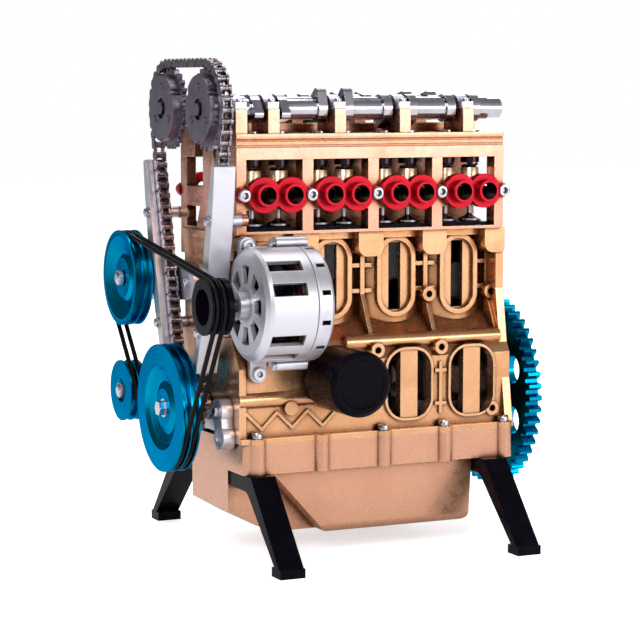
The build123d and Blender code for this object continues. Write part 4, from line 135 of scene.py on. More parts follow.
# Lowest and highest values that count, of noise, of openness and of a bevelled against a true normal
NOISE_SPAN = (0.3, 0.7)
ENCLOSED_SPAN = (0.25, 0.85)
EDGE_SPAN = (0.8, 0.97)
CORNER_SPAN = (0.62, 0.86)

CORNER_DISTANCE = 1.6 * MM
LINED_SHARE = 0.75
ALONG_X = (1, 0, 0)
ACROSS_X = (0, 1, 1)


class Tree:
    """Short ways to add to a node tree."""

    def __init__(self, tree):
        self.tree = tree

    def node(self, kind, **settings):
        made = self.tree.nodes.new(kind)
        for key, value in settings.items():
            setattr(made, key, value)
        return made

    def put(self, socket, value):
        """Gives an input a constant or another node's output."""
        if isinstance(value, bpy.types.NodeSocket):
            self.tree.links.new(value, socket)
        else:
            socket.default_value = value

    def feed(self, node, *values):
        """Puts values into a node's inputs, in their order."""
        for socket, value in zip(node.inputs, values):
            self.put(socket, value)

    def calc(self, operation, *values):
        """One step of arithmetic on numbers."""
        made = self.node("ShaderNodeMath", operation=operation)
        self.feed(made, *values)
        return made.outputs["Value"]

    def vector_calc(self, operation, *values):
        """One step of arithmetic on vectors; a length or a dot product is a number."""
        made = self.node("ShaderNodeVectorMath", operation=operation)
        self.feed(made, *values)
        return made.outputs["Value" if operation in ("LENGTH", "DOT_PRODUCT") else "Vector"]

    def ramp(self, value, low, high, start=0.0, end=1.0):
        """Value mapped from low..high to start..end, held at both ends."""
        made = self.node("ShaderNodeMapRange")
        self.feed(made, value, low, high, start, end)
        return made.outputs["Result"]


class Surface(Tree):
    """A procedural material built on one Principled shader."""

    def __init__(self, name, colour, metallic, roughness, **constants):
        self.material = bpy.data.materials.new(name)
        self.material.use_nodes = True
        super().__init__(self.material.node_tree)
        self.shader = self.tree.nodes["Principled BSDF"]
        self.put(self.shader.inputs["Base Color"], colour)
        self.put(self.shader.inputs["Metallic"], metallic)
        self.put(self.shader.inputs["Roughness"], roughness)
        for name_of_input, value in constants.items():
            self.put(self.shader.inputs[name_of_input.replace("_", " ")], value)
        self.colour = colour
        self.normal = None
        self.place = self.node("ShaderNodeTexCoord").outputs["Object"]

    def noise(self, size, detail=3.0, rough=0.6, stretch=None):
        """Noise with features about as large as size, and finer along axes where stretch is above one."""
        made = self.node("ShaderNodeTexNoise")
        self.put(made.inputs["Scale"], 1 / size)
        self.put(made.inputs["Detail"], detail)
        self.put(made.inputs["Roughness"], rough)
        place = self.vector_calc("MULTIPLY", self.place, stretch) if stretch else self.place
        self.put(made.inputs["Vector"], place)
        return made.outputs["Fac"]

    def openness(self, distance, samples):
        """How open the surface is, counting what lies within a distance."""
        made = self.node("ShaderNodeAmbientOcclusion", samples=samples)
        self.put(made.inputs["Distance"], distance)
        return made.outputs["AO"]

    def bevelled(self, radius, samples):
        """The surface's normal with its edges rounded."""
        made = self.node("ShaderNodeBevel", samples=samples)
        self.put(made.inputs["Radius"], radius)
        return made.outputs["Normal"]

    def tint(self, share, colour):
        """Mixes a colour over what is there, by a share from 0 to 1."""
        mix = self.node("ShaderNodeMix", data_type="RGBA")
        self.put(mix.inputs[MIX_SHARE], share)
        self.put(mix.inputs[MIX_UNDER], self.colour)
        self.put(mix.inputs[MIX_OVER], colour)
        self.colour = mix.outputs[MIX_RESULT]
        self.put(self.shader.inputs["Base Color"], self.colour)

    def mottle(self, colour, size, low=0.45, high=0.7):
        """Soft patches of another colour."""
        self.tint(self.ramp(self.noise(size, rough=0.5), low, high), colour)

    def crevice_shade(self, colour, distance, strength):
        """Painted shade: darker where the surface is enclosed."""
        closed = self.ramp(self.openness(distance, samples=10), *ENCLOSED_SPAN, strength, 0.0)
        self.tint(closed, colour)

    def lined(self, radius, light, dark):
        """Painted highlight on open sharp edges and painted shade in inner corners."""
        true_normal = self.node("ShaderNodeNewGeometry").outputs["Normal"]
        turn = self.vector_calc("DOT_PRODUCT", self.bevelled(radius, samples=6), true_normal)
        edge = self.ramp(turn, *EDGE_SPAN, 1.0, 0.0)
        free = self.ramp(self.openness(CORNER_DISTANCE, samples=6), *CORNER_SPAN)
        corner = self.calc("SUBTRACT", 1.0, free)
        self.tint(self.all_of(edge, free, LINED_SHARE), light)
        self.tint(self.all_of(corner, LINED_SHARE), dark)

    def rough(self, low, high, size, stretch=None):
        """Roughness that wanders between two values."""
        share = self.noise(size, stretch=stretch)
        self.put(self.shader.inputs["Roughness"], self.ramp(share, *NOISE_SPAN, low, high))

    def bend(self, normal):
        """Makes a normal the shader's."""
        self.normal = normal
        self.put(self.shader.inputs["Normal"], normal)

    def soft_edges(self, radius):
        """Rounds sharp edges in the shading."""
        self.bend(self.bevelled(radius, samples=4))

    def bump(self, height, depth):
        """Relief of a height value, depth in metres."""
        made = self.node("ShaderNodeBump")
        self.put(made.inputs["Strength"], 1.0)
        self.put(made.inputs["Distance"], depth)
        self.put(made.inputs["Height"], height)
        if self.normal is not None:
            self.put(made.inputs["Normal"], self.normal)
        self.bend(made.outputs["Normal"])

    def grain(self, size, depth, detail=3.0, stretch=None):
        """Fine cast or blasted grain."""
        self.bump(self.noise(size, detail, stretch=stretch), depth)

    def turned(self, centre, pitch, depth):
        """Fine rings left by a lathe round an axis along X, and the light fans that they throw."""
        flat = self.vector_calc("MULTIPLY", self.vector_calc("SUBTRACT", self.place, centre), ACROSS_X)
        radius = self.vector_calc("LENGTH", flat)
        rings = self.calc("SINE", self.calc("MULTIPLY", radius, 2 * math.pi / pitch))
        self.bump(rings, depth)
        self.put(self.shader.inputs["Tangent"], self.vector_calc("CROSS_PRODUCT", ALONG_X, flat))

    def axes(self):
        """The part's X, the distance from its middle plane and its Z at the shaded point, in metres."""
        split = self.node("ShaderNodeSeparateXYZ")
        self.put(split.inputs[0], self.place)
        x, y, z = split.outputs
        return x, self.calc("ABSOLUTE", y), z

    def from_cylinder(self):
        """Distance along X from the middle of the nearest cylinder."""
        x = self.axes()[0]
        shifted = self.calc("SUBTRACT", x, CYLINDER_X[0] - CYLINDER_PITCH / 2)
        turn = self.calc("FLOORED_MODULO", shifted, CYLINDER_PITCH)
        return self.calc("ABSOLUTE", self.calc("SUBTRACT", turn, CYLINDER_PITCH / 2))

    def up_to(self, value, limit, blend=0.6 * MM):
        """One up to a limit, falling to zero over a short blend beyond it."""
        return self.ramp(value, limit, limit + blend, 1.0, 0.0)

    def within(self, value, low, high, blend=0.4 * MM):
        """One between two limits, falling to zero over a short blend outside them."""
        above = self.ramp(value, low - blend, low)
        return self.calc("MULTIPLY", above, self.up_to(value, high, blend))

    def all_of(self, first, *others):
        """Product of shares."""
        whole = first
        for share in others:
            whole = self.calc("MULTIPLY", whole, share)
        return whole


def port_shade(made, colour):
    """Darkens the bores of the ports."""
    aside, z = made.axes()[1:]
    off = made.calc("SUBTRACT", made.from_cylinder(), PORT_HALF_SPACING)
    rise = made.calc("SUBTRACT", z, PORT_HEIGHT)
    squares = [made.calc("MULTIPLY", value, value) for value in (off, rise)]
    radius = made.calc("SQRT", made.calc("ADD", *squares))
    bore = made.up_to(radius, PORT_BORE, blend=0.14 * MM)
    deep = made.up_to(aside, PORT_REACH, blend=1.4 * MM)
    made.tint(made.all_of(bore, deep), colour)


def head_shade(made):
    """Painted shade in the bays of the head and in the middle of the cam carrier."""
    x, aside, z = made.axes()
    inside = made.within(x, *HEAD_LENGTH, blend=0.1 * MM)
    bay_height = made.within(z, *BAY_HEIGHTS, blend=0.1 * MM)
    bay = made.all_of(made.up_to(aside, BAY_REACH), bay_height, inside)
    gallery_height = made.within(z, *GALLERY_HEIGHTS)
    gallery = made.all_of(made.up_to(aside, GALLERY_REACH, blend=0.5 * MM), gallery_height, inside)
    made.tint(made.all_of(bay, BAY_SHARE), DEEP_SHADE)
    made.tint(made.all_of(gallery, GALLERY_SHARE), DEEP_SHADE)


def carrier_groove_shade(made):
    """Painted shade along the grooves of the cam carrier's two long faces: a band of a deeper colour with a dark
    line in it.
    """
    aside, z = made.axes()[1:]
    outside = made.within(aside, *CARRIER_FACES, blend=0.1 * MM)
    band = made.within(z, *BAND_HEIGHTS, blend=0.7 * MM)
    line = made.within(z, *LINE_HEIGHTS, blend=0.15 * MM)
    made.tint(made.all_of(band, outside, BAND_SHARE), GROOVE_SHADE)
    made.tint(made.all_of(line, outside, LINE_SHARE), DEEP_SHADE)


def block_shade(made):
    """Darkness in the bores and in the crankcase, seen through the windows."""
    x, aside, z = made.axes()
    bore_sides = made.up_to(made.from_cylinder(), BORE_HALF_LENGTH, blend=0.4 * MM)
    bores = made.all_of(bore_sides, made.up_to(aside, BORE_REACH), made.within(z, *BORE_HEIGHTS))
    case_ends = made.within(x, *CASE_LENGTH)
    case = made.all_of(case_ends, made.up_to(aside, CASE_REACH), made.within(z, *CASE_HEIGHTS))
    made.tint(bores, PIT)
    made.tint(case, PIT)


def painted_casting(made, low, high):
    """Painted highlights on edges, painted shade in inner corners, softened edges and fine grain of a painted
    casting, with its roughness between two values.
    """
    made.lined(0.8 * MM, light=GOLD_HIGHLIGHT, dark=CORNER_SHADE)
    made.rough(low, high, size=3 * MM)
    made.soft_edges(radius=0.4 * MM)
    made.grain(size=0.3 * MM, depth=0.007 * MM)


def gold(name, base, deep):
    made = Surface(name, base, metallic=0.9, roughness=0.3, Coat_Weight=0.25, Coat_Roughness=0.16)
    made.mottle(deep, size=14 * MM, low=0.45, high=0.9)
    made.crevice_shade(GOLD_SHADE, distance=12 * MM, strength=0.7)
    made.crevice_shade(DEEP_SHADE, distance=3.5 * MM, strength=0.8)
    head_shade(made)
    carrier_groove_shade(made)
    block_shade(made)
    port_shade(made, PIT)
    painted_casting(made, low=0.2, high=0.3)
    return made


def block_gold():
    return gold("gold paint", GOLD, GOLD_DARK)


def head_gold():
    return gold("head gold", HEAD_GOLD, HEAD_DARK)


def copper():
    made = Surface("copper paint", COPPER, metallic=0.85, roughness=0.36,
                   Coat_Weight=0.25, Coat_Roughness=0.2)
    made.mottle(COPPER_DARK, size=16 * MM, low=0.5, high=1.0)
    made.crevice_shade(COPPER_SHADE, distance=12 * MM, strength=0.6)
    made.crevice_shade(DEEP_SHADE, distance=3.5 * MM, strength=0.9)
    painted_casting(made, low=0.24, high=0.33)
    return made


def cup_gold():
    made = Surface("cup gold", rgb(250, 220, 188), metallic=0.8, roughness=0.3)
    made.mottle(rgb(226, 188, 148), size=4 * MM, low=0.5, high=1.0)
    made.rough(low=0.24, high=0.34, size=1.5 * MM)
    made.grain(size=0.3 * MM, depth=0.004 * MM)
    return made


def black_paint():
    made = Surface("black paint", rgb(9, 7, 14), metallic=0.0, roughness=0.3, Specular_IOR_Level=0.05)
    made.mottle(rgb(14, 11, 20), size=6 * MM)
    made.rough(low=0.2, high=0.32, size=2 * MM)
    made.soft_edges(radius=0.3 * MM)
    made.grain(size=0.3 * MM, depth=0.008 * MM)
    return made


def blue(node, centre):
    made = Surface(f"blue anodised {node}", BLUE, metallic=1.0, roughness=0.24,
                   Anisotropic=0.7, Specular_Tint=(0.0, 0.42, 0.72, 1))
    made.mottle(BLUE_DARK, size=20 * MM, low=0.5, high=1.0)
    made.crevice_shade(rgb(4, 24, 44), distance=2 * MM, strength=0.8)
    made.rough(low=0.2, high=0.27, size=2 * MM)
    made.turned(centre, pitch=1.6 * MM, depth=0.012 * MM)
    return made


def red():
    made = Surface("red anodised", rgb(182, 16, 36), metallic=0.8, roughness=0.32)
    made.mottle(rgb(136, 8, 24), size=12 * MM, low=0.5, high=1.0)
    made.crevice_shade(rgb(40, 0, 6), distance=2.5 * MM, strength=0.9)
    port_shade(made, rgb(12, 2, 5))
    made.rough(low=0.26, high=0.36, size=2 * MM)
    made.soft_edges(radius=0.4 * MM)
    made.grain(size=0.25 * MM, depth=0.006 * MM)
    return made


def aluminium():
    made = Surface("bare aluminium", rgb(222, 220, 228), metallic=0.85, roughness=0.38)
    made.mottle(rgb(186, 184, 196), size=12 * MM, low=0.5, high=1.0)
    made.crevice_shade(rgb(44, 42, 52), distance=3 * MM, strength=0.9)
    made.rough(low=0.32, high=0.44, size=1.5 * MM)
    made.soft_edges(radius=0.4 * MM)
    made.grain(size=0.2 * MM, depth=0.008 * MM)
    return made


def bright_steel(name):
    """Polished steel, still without softened edges and grain."""
    made = Surface(name, rgb(200, 197, 208), metallic=1.0, roughness=0.16)
    made.mottle(rgb(172, 168, 182), size=9 * MM, low=0.5, high=1.0)
    made.crevice_shade(rgb(22, 18, 22), distance=3 * MM, strength=0.9)
    made.rough(low=0.12, high=0.2, size=1.5 * MM)
    return made


def polished():
    made = bright_steel("polished steel")
    made.soft_edges(radius=0.2 * MM)
    made.grain(size=0.3 * MM, depth=0.002 * MM)
    return made


def valve_steel():
    """Polished steel with a dark stretch on the stems, between spring and cam."""
    made = bright_steel("valve steel")
    z = made.axes()[2]
    made.tint(made.within(z, *STEM_HEIGHTS, blend=0.2 * MM), rgb(58, 48, 54))
    made.grain(size=0.3 * MM, depth=0.002 * MM)
    return made


def bright_screws():
    made = Surface("bright screws", rgb(214, 212, 220), metallic=1.0, roughness=0.24)
    made.mottle(rgb(184, 182, 192), size=4 * MM, low=0.5, high=1.0)
    made.crevice_shade(rgb(22, 19, 24), distance=1.4 * MM, strength=1.0)
    made.rough(low=0.18, high=0.28, size=1 * MM)
    made.soft_edges(radius=0.25 * MM)
    made.grain(size=0.2 * MM, depth=0.003 * MM)
    return made


def turned_steel():
    made = Surface("turned steel", rgb(188, 186, 194), metallic=1.0, roughness=0.26)
    made.mottle(rgb(146, 142, 150), size=6 * MM, low=0.5, high=1.0)
    made.crevice_shade(rgb(24, 19, 20), distance=4 * MM, strength=0.9)
    made.rough(low=0.2, high=0.32, size=1.5 * MM, stretch=(1, 6, 6))
    made.grain(size=0.3 * MM, depth=0.002 * MM, detail=2.0, stretch=(1, 8, 8))
    return made


def dark_steel():
    made = Surface("dark steel", rgb(166, 156, 164), metallic=1.0, roughness=0.28)
    made.mottle(rgb(104, 94, 100), size=1.6 * MM, low=0.42, high=0.75)
    made.crevice_shade(rgb(10, 7, 8), distance=1.6 * MM, strength=0.95)
    made.rough(low=0.2, high=0.36, size=0.8 * MM)
    made.soft_edges(radius=0.15 * MM)
    made.grain(size=0.3 * MM, depth=0.004 * MM)
    return made


def sprocket_steel():
    made = Surface("sprocket steel", rgb(146, 138, 154), metallic=1.0, roughness=0.34)
    made.mottle(rgb(116, 108, 124), size=6 * MM, low=0.45, high=0.9)
    made.crevice_shade(rgb(12, 9, 12), distance=2.5 * MM, strength=0.92)
    made.rough(low=0.28, high=0.42, size=1.2 * MM)
    made.soft_edges(radius=0.3 * MM)
    made.grain(size=0.25 * MM, depth=0.006 * MM)
    return made


def spring_steel():
    made = Surface("spring steel", rgb(120, 112, 116), metallic=1.0, roughness=0.26)
    made.mottle(rgb(76, 68, 70), size=1.5 * MM)
    made.crevice_shade(rgb(12, 8, 8), distance=2.5 * MM, strength=0.95)
    made.rough(low=0.2, high=0.34, size=0.8 * MM)
    made.grain(size=0.3 * MM, depth=0.004 * MM)
    return made


def copper_windings():
    made = Surface("copper windings", rgb(96, 58, 42), metallic=0.7, roughness=0.4)
    made.mottle(rgb(38, 26, 24), size=1.2 * MM)
    made.crevice_shade(rgb(8, 6, 7), distance=4 * MM, strength=1.0)
    made.grain(size=0.5 * MM, depth=0.04 * MM, detail=2.0, stretch=(0.3, 1, 1))
    return made


def rotor_steel():
    made = Surface("rotor steel", rgb(112, 116, 130), metallic=1.0, roughness=0.3)
    made.mottle(rgb(60, 64, 78), size=3 * MM, low=0.45, high=0.9)
    made.crevice_shade(rgb(8, 9, 14), distance=4 * MM, strength=1.0)
    made.rough(low=0.24, high=0.38, size=1.0 * MM)
    made.soft_edges(radius=0.2 * MM)
    made.grain(size=0.3 * MM, depth=0.004 * MM)
    return made


def motor_steel():
    made = Surface("motor steel", rgb(166, 166, 174), metallic=1.0, roughness=0.3)
    made.mottle(rgb(134, 134, 144), size=8 * MM, low=0.5, high=1.0)
    made.crevice_shade(rgb(24, 22, 26), distance=3 * MM, strength=0.85)
    made.rough(low=0.24, high=0.36, size=2 * MM, stretch=(1, 5, 5))
    made.soft_edges(radius=0.25 * MM)
    made.grain(size=0.3 * MM, depth=0.004 * MM, detail=2.0, stretch=(1, 8, 8))
    return made


def black_rubber():
    made = Surface("black rubber", rgb(7, 6, 9), metallic=0.0, roughness=0.4, Specular_IOR_Level=0.14)
    made.mottle(rgb(14, 13, 17), size=2.5 * MM)
    made.rough(low=0.36, high=0.52, size=1.5 * MM)
    made.grain(size=0.25 * MM, depth=0.015 * MM)
    return made


def battery_wrap():
    made = Surface("battery wrap", rgb(40, 72, 120), metallic=0.0, roughness=0.4)
    made.mottle(rgb(30, 56, 98), size=8 * MM)
    made.grain(size=0.6 * MM, depth=0.01 * MM)
    return made


# A finish is the one that a slot is named after, or a variant that some of its pieces have

MAKERS = {
    "gold_paint": block_gold,
    "copper_paint": copper,
    "black_paint": black_paint,
    "red_anodised": red,
    "bare_aluminium": aluminium,
    "polished_steel": polished,
    "bright_screws": bright_screws,
    "turned_steel": turned_steel,
    "dark_steel": dark_steel,
    "spring_steel": spring_steel,
    "copper_windings": copper_windings,
    "motor_steel": motor_steel,
    "black_rubber": black_rubber,
    "battery_wrap": battery_wrap,
    "sprocket_steel": sprocket_steel,
    "rotor_steel": rotor_steel,
    "valve_steel": valve_steel,
    "cup_gold": cup_gold,
    "head_gold": head_gold,
}
NODE_FINISHES = {
    "alternator_rotor": "rotor_steel",
    "exhaust_cam_sprocket": "sprocket_steel",
    "intake_cam_sprocket": "sprocket_steel",
    "cylinder_head": "head_gold",
    "cam_carrier": "head_gold",
}
for way in VALVE_ROWS:
    for index in range(1, len(CYLINDER_X) + 1):
        NODE_FINISHES[f"{way}_valves_{index}"] = "valve_steel"
BLUE_CENTRES = {
    "crank_pulley": CRANK_AXIS,
    "flywheel": CRANK_AXIS,
    "water_pump_pulley": WATER_PUMP_AXIS,
    "idler_pulley": IDLER_AXIS,
}

finishes = {}


def finish_of(slot, node=None):
    """The material of a slot, made once; blue pieces get one for each axis that they were turned about."""
    finish = NODE_FINISHES.get(node, slot)
    centre = BLUE_CENTRES.get(node)
    key = (finish, centre)
    if key not in finishes:
        finishes[key] = blue(node, centre) if centre else MAKERS[finish]()
    return finishes[key].material


def dress(piece, material):
    """Gives a piece one material and smooth faces."""
    piece.data.materials.clear()
    piece.data.materials.append(material)
    for polygon in piece.data.polygons:
        polygon.use_smooth = True


slots_of = {part["node"]: part["material_slot"] for part in frame["record"]["subparts"]}
for name, piece in frame["nodes"].items():
    dress(piece, finish_of(slots_of[name], name))


# Small pieces that the CAD gives more plainly, or not at all

RING_STEPS = 24
COIL_STEPS = 20
WIRE_SIDES = 8
SHARP_ANGLE = math.radians(32)
TURNS = {
    "-X": Matrix.Rotation(-math.pi / 2, 4, "Y"),
    "-Y": Matrix.Rotation(math.pi / 2, 4, "X"),
    "+Y": Matrix.Rotation(-math.pi / 2, 4, "X"),
    "-Z": Matrix.Rotation(math.pi, 4, "X"),
    "+Z": Matrix.Identity(4),
}


class Skin:
    """Points and faces gathered for one mesh."""

    def __init__(self):
        self.points = []
        self.faces = []

    def add(self, shape, place):
        points, faces = shape
        first = len(self.points)
        self.points += [tuple(place @ Vector(point)) for point in points]
        self.faces += [[first + k for k in face] for face in faces]

    def piece(self, name, body, slot, replaced=(), finish=None):
        """The mesh as an object that rides on a body and may stand for CAD nodes."""
        mesh = bpy.data.meshes.new(name)
        mesh.from_pydata(self.points, [], self.faces)
        made = bpy.data.objects.new(name, mesh)
        bpy.context.scene.collection.objects.link(made)
        dress(made, finish_of(finish or slot))
        mesh.set_sharp_from_angle(angle=SHARP_ANGLE)
        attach(made, body)
        if replaced:
            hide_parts(*replaced)
        return made


def facing(place, way):
    """Place whose Z points along one of the part's axes."""
    return Matrix.Translation(place) @ TURNS[way]


def joined(rings, loop=False):
    """Skin over rings of points, capped at both ends, or closed from the last ring to the first as a loop."""
    steps = len(rings[0])
    points = [point for ring in rings for point in ring]
    faces = []
    for index in range(len(rings) if loop else len(rings) - 1):
        low = index * steps
        high = (index + 1) % len(rings) * steps
        for k in range(steps):
            after = (k + 1) % steps
            faces.append((low + k, low + after, high + after, high + k))
    if not loop:
        last = len(points) - steps
        faces.append(tuple(reversed(range(steps))))
        faces.append(tuple(range(last, last + steps)))
    return points, faces


def lathe(outline, loop=False):
    """Skin round Z through pairs of height and radius; a radius may depend on the angle."""
    rings = []
    for height, radius in outline:
        ring = []
        for k in range(RING_STEPS):
            angle = 2 * math.pi * k / RING_STEPS
            reach = radius(angle) if callable(radius) else radius
            ring.append((reach * math.cos(angle), reach * math.sin(angle), height))
        rings.append(ring)
    return joined(rings, loop)


def hexagon(half_across):
    """Radius of a hexagon at any angle, flats at 0 degrees."""
    return lambda angle: half_across / math.cos((angle + math.pi / 6) % (math.pi / 3) - math.pi / 6)


def socket_screw(head, height, shank, length):
    """Socket head screw standing on its seat at zero, head up; head and shank are radii."""
    edge = head * 0.16
    hole = head * 0.52
    well = hexagon(hole * 0.94)
    return lathe([
        (-length, shank),
        (0, shank),
        (0, head),
        (height - edge, head),
        (height - edge * 0.3, head - edge * 0.3),
        (height, head - edge),
        (height, hole * 1.12),
        (height - edge * 0.7, well),
        (height * 0.3, well),
    ])


def hex_screw(half_across, height, washer, thickness, shank, length):
    """Hexagon head on a round washer, seated at zero, with its shank below; washer and shank are radii."""
    edge = half_across * 0.14
    flats = hexagon(half_across)
    return lathe([
        (-length, shank),
        (0, shank),
        (0, washer),
        (thickness * 0.75, washer),
        (thickness, washer - thickness * 0.25),
        (thickness, flats),
        (height - edge, flats),
        (height - edge * 0.4, half_across * 0.99),
        (height, half_across * 0.86),
        (height + edge * 0.25, half_across * 0.5),
    ])


def coil(radius, wire, low, high, turns):
    """Closed tube along an upright helix round the origin; wire is its radius."""
    rise = (high - low) / (turns * COIL_STEPS)
    slope = math.atan2(rise * COIL_STEPS, 2 * math.pi * radius)
    rings = []
    for k in range(turns * COIL_STEPS + 1):
        turn = Matrix.Rotation(2 * math.pi * k / COIL_STEPS, 4, "Z")
        ring = []
        for side in range(WIRE_SIDES):
            angle = 2 * math.pi * side / WIRE_SIDES
            across = wire * math.cos(angle)
            up = wire * math.sin(angle)
            spot = Vector((radius + across, -up * math.sin(slope), low + rise * k + up * math.cos(slope)))
            ring.append(turn @ spot)
        rings.append(ring)
    points, faces = joined(rings)
    # These rings turn against their own way forward, unlike a lathe's, so each face is turned over
    return points, [(face[0], *reversed(face[1:])) for face in faces]


def port_screw_piece():
    """Screws of the port flanges, one on each column of the head on both sides."""
    shape = socket_screw(head=2.1 * MM, height=1.9 * MM, shank=1.1 * MM, length=4.9 * MM)
    skin = Skin()
    for x in COLUMN_X:
        skin.add(shape, facing((x, -PORT_FACE, PORT_HEIGHT), "-Y"))
        skin.add(shape, facing((x, PORT_FACE, PORT_HEIGHT), "+Y"))
    skin.piece("port_socket_screws", "root", "bright_screws", ["port_screws"])


def cam_cap_screw_piece():
    """Two screws on each cam cap."""
    front_cap = -45.45 * MM
    offset = 5.7 * MM
    seat = 153.5 * MM
    shape = socket_screw(head=1.3 * MM, height=1.1 * MM, shank=0.7 * MM, length=6.9 * MM)
    skin = Skin()
    for x in [front_cap] + CYLINDER_X:
        for row in VALVE_ROWS.values():
            skin.add(shape, facing((x, row - offset, seat), "+Z"))
            skin.add(shape, facing((x, row + offset, seat), "+Z"))
    skin.piece("cam_cap_socket_screws", "root", "bright_screws", ["cam_cap_screws"])


def add_pan_screws(skin):
    """Screws down into the pan's flange; the near side leaves out the second place."""
    first = -42.4 * MM
    pitch = 23.5 * MM
    offset = 29.6 * MM
    seat = 41.8 * MM
    shape = socket_screw(head=1.9 * MM, height=1.8 * MM, shank=1.0 * MM, length=5.9 * MM)
    for k in range(5):
        x = first + k * pitch
        if k != 1:
            skin.add(shape, facing((x, -offset, seat), "+Z"))
        skin.add(shape, facing((x, offset, seat), "+Z"))


def add_leg_screws(skin):
    """Screws up through the legs into the pan."""
    offset = 24.0 * MM
    seat = 24.4 * MM
    shape = socket_screw(head=1.9 * MM, height=1.5 * MM, shank=1.0 * MM, length=7.1 * MM)
    for x in (-42.375 * MM, 45.875 * MM):
        skin.add(shape, facing((x, -offset, seat), "-Z"))
        skin.add(shape, facing((x, offset, seat), "-Z"))


def pan_screw_piece():
    skin = Skin()
    add_pan_screws(skin)
    add_leg_screws(skin)
    skin.piece("pan_and_leg_socket_screws", "root", "bright_screws", ["pan_and_leg_screws"])


def add_front_screw(skin, seat, y, z, end):
    """One hexagon screw through a piece at the front, from its seat back to the end of its shank."""
    shape = hex_screw(half_across=1.45 * MM, height=1.5 * MM, washer=1.85 * MM, thickness=0.35 * MM,
                      shank=1.1 * MM, length=end - seat)
    skin.add(shape, facing((seat, y, z), "-X"))


def front_screw_piece():
    """Screws of the chain guides, of the oil pump cover and of the two pulley carriers."""
    guide_face = -58.6 * MM
    cover_face = -52.4 * MM
    carrier_face = -51.0 * MM
    skin = Skin()
    for side in (-1, 1):
        add_front_screw(skin, guide_face, side * 27.92 * MM, 114.64 * MM, HEAD_FRONT)
        add_front_screw(skin, guide_face, side * 18.69 * MM, 76.8 * MM, BLOCK_FRONT)
    add_front_screw(skin, cover_face, -19.0 * MM, 50.2 * MM, BLOCK_FRONT)
    add_front_screw(skin, carrier_face, 10.5 * MM, 91.2 * MM, BLOCK_FRONT)
    add_front_screw(skin, carrier_face, 22.5 * MM, 47.0 * MM, BLOCK_FRONT)
    skin.piece("front_hex_screws", "root", "bright_screws", ["front_screws"])


def spring_cups():
    """Sleeves of the valve guides round the feet of the springs."""
    middle = 128.5 * MM
    low = -4.1 * MM
    high = 2.0 * MM
    outer = 3.24 * MM
    inner = 3.06 * MM
    shape = lathe([
        (low, inner),
        (low, outer),
        (high - 0.1 * MM, outer),
        (high, outer - 0.06 * MM),
        (high, inner),
    ], loop=True)
    skin = Skin()
    for cylinder in CYLINDER_X:
        for offset in VALVE_OFFSETS:
            for row in VALVE_ROWS.values():
                skin.add(shape, Matrix.Translation((cylinder + offset, row, middle)))
    skin.piece("valve_spring_cups", "root", "gold_paint", finish="cup_gold")


def pulley_nuts():
    """Nuts on the studs of the water pump and the idler."""
    face = -66.2 * MM
    shape = hex_screw(half_across=2.0 * MM, height=0.5 * MM, washer=2.35 * MM, thickness=0.12 * MM,
                      shank=1.0 * MM, length=0.2 * MM)
    skin = Skin()
    for axis in (WATER_PUMP_AXIS, IDLER_AXIS):
        skin.add(shape, facing((face, axis[1], axis[2]), "-X"))
    skin.piece("pulley_stud_nuts", "root", "bright_screws")


def spring_pieces():
    """Valve springs, one piece with a mesh of its own for each cylinder and row of valves."""
    shape = coil(radius=2.55 * MM, wire=0.45 * MM, low=129.0 * MM, high=131.7 * MM, turns=2)
    for way, row in VALVE_ROWS.items():
        for index, cylinder in enumerate(CYLINDER_X, 1):
            skin = Skin()
            for offset in VALVE_OFFSETS:
                skin.add(shape, Matrix.Translation((cylinder + offset, row, 0)))
            piece = skin.piece(f"{way}_coils_{index}", "root", "spring_steel", ["valve_springs"])
            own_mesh(piece)


port_screw_piece()
cam_cap_screw_piece()
pan_screw_piece()
front_screw_piece()
spring_cups()
pulley_nuts()
spring_pieces()


# Studio

FLOOR_SIZE = 6.0
FLOOR_COLOUR = (0.93, 0.93, 0.93, 1)
FLOOR_GLOW = 0.62
FLOOR_IN_REFLECTIONS = 0.1
ROOM_COLOUR = (0.46, 0.46, 0.48, 1)
DIM_SIDE = (-0.97, 0.24, 0.0)
MIDDLE = (0, 0, 0.085)

# Each lamp's name, place, width and height in metres, and power in watts
LAMPS = (
    ("key", (-0.5, -0.72, 0.6), 0.35, 0.5, 4.5),
    ("front", (0.46, -0.86, 0.24), 0.5, 0.3, 2.0),
    ("top", (0.0, 0.12, 0.85), 0.6, 0.4, 3.0),
    ("back", (0.5, 0.6, 0.4), 0.5, 0.5, 2.4),
)

# The photo's camera, as fitted to it
CAMERA_PLACE = Vector((-0.3359, -0.7065, 0.1586))
CAMERA_YAW = math.radians(25.07)
CAMERA_PITCH = math.radians(5.96)
CAMERA_LENS = 125.9
SENSOR_WIDTH = 36.0


def pale_floor():
    """Floor that takes the part's shadow, glows white to the camera and shows little in reflections."""
    bpy.ops.mesh.primitive_plane_add(size=FLOOR_SIZE, location=(0, 0, 0))
    floor = bpy.context.object
    floor.name = "floor"
    made = Surface("pale floor", FLOOR_COLOUR, metallic=0.0, roughness=0.9,
                   Specular_IOR_Level=0.0, Emission_Color=WHITE)
    path = made.node("ShaderNodeLightPath").outputs
    seen = made.calc("MULTIPLY_ADD", path["Is Glossy Ray"], FLOOR_IN_REFLECTIONS, path["Is Camera Ray"])
    made.put(made.shader.inputs["Emission Strength"], made.calc("MULTIPLY", seen, FLOOR_GLOW))
    floor.data.materials.append(made.material)


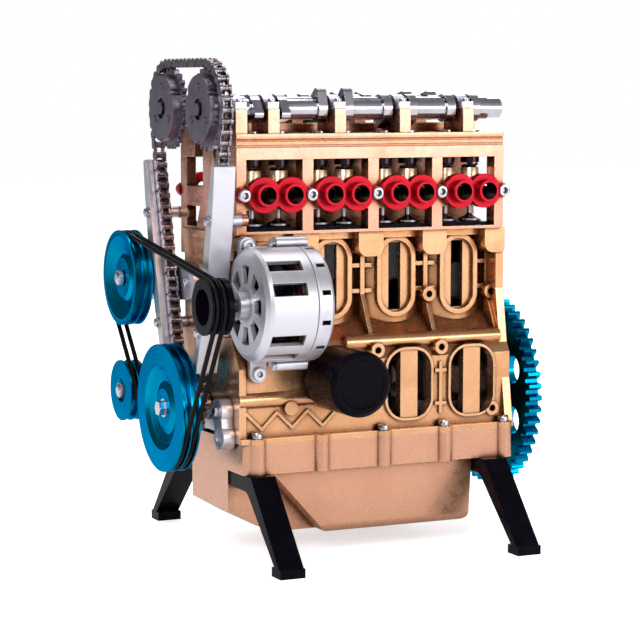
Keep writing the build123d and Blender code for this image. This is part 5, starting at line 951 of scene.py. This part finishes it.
def room_in_reflections(tree):
    """Light of the room in reflections, dimmer on the pulleys' side and overhead."""
    direction = tree.node("ShaderNodeTexCoord").outputs["Generated"]
    toward = tree.vector_calc("DOT_PRODUCT", direction, DIM_SIDE)
    split = tree.node("ShaderNodeSeparateXYZ")
    tree.feed(split, direction)
    around = tree.ramp(toward, low=-0.6, high=0.6, start=0.75, end=0.2)
    above = tree.ramp(split.outputs["Z"], low=0.25, high=0.8, start=1.0, end=0.4)
    made = tree.node("ShaderNodeBackground")
    tree.put(made.inputs["Strength"], tree.calc("MULTIPLY", around, above))
    return made.outputs[0]


def studio_world():
    """White to the camera, grey as light on the part, and a room with a dim side in reflections."""
    world = bpy.data.worlds.new("studio")
    bpy.context.scene.world = world
    world.use_nodes = True
    tree = Tree(world.node_tree)
    path = tree.node("ShaderNodeLightPath").outputs
    direct = tree.calc("MAXIMUM", path["Is Camera Ray"], path["Is Transmission Ray"])
    grey = world.node_tree.nodes["Background"]
    tree.feed(grey, ROOM_COLOUR)
    white = tree.node("ShaderNodeBackground")
    tree.feed(white, WHITE)
    seen = tree.node("ShaderNodeMixShader")
    tree.feed(seen, direct, grey.outputs[0], white.outputs[0])
    whole = tree.node("ShaderNodeMixShader")
    tree.feed(whole, path["Is Glossy Ray"], seen.outputs[0], room_in_reflections(tree))
    tree.put(world.node_tree.nodes["World Output"].inputs["Surface"], whole.outputs[0])


def soft_light(name, place, width, height, power):
    """Area light that points at the middle of the part."""
    lamp = bpy.data.lights.new(name, "AREA")
    lamp.shape = "RECTANGLE"
    lamp.size = width
    lamp.size_y = height
    lamp.energy = power
    holder = bpy.data.objects.new(name, lamp)
    bpy.context.scene.collection.objects.link(holder)
    holder.location = place
    holder.rotation_mode = "QUATERNION"
    holder.rotation_quaternion = (Vector(MIDDLE) - Vector(place)).to_track_quat("-Z", "Y")


def photo_camera():
    data = bpy.data.cameras.new("camera")
    data.lens = CAMERA_LENS
    data.sensor_width = SENSOR_WIDTH
    data.clip_start = 0.05
    data.clip_end = 20
    camera = bpy.data.objects.new("camera", data)
    bpy.context.scene.collection.objects.link(camera)
    camera.location = CAMERA_PLACE
    level = math.cos(CAMERA_PITCH)
    ahead = Vector((math.sin(CAMERA_YAW) * level, math.cos(CAMERA_YAW) * level, -math.sin(CAMERA_PITCH)))
    camera.rotation_mode = "QUATERNION"
    camera.rotation_quaternion = ahead.to_track_quat("-Z", "Y")
    bpy.context.scene.camera = camera


pale_floor()
studio_world()
for lamp in LAMPS:
    soft_light(*lamp)
photo_camera()
bpy.context.scene.view_settings.view_transform = "Standard"
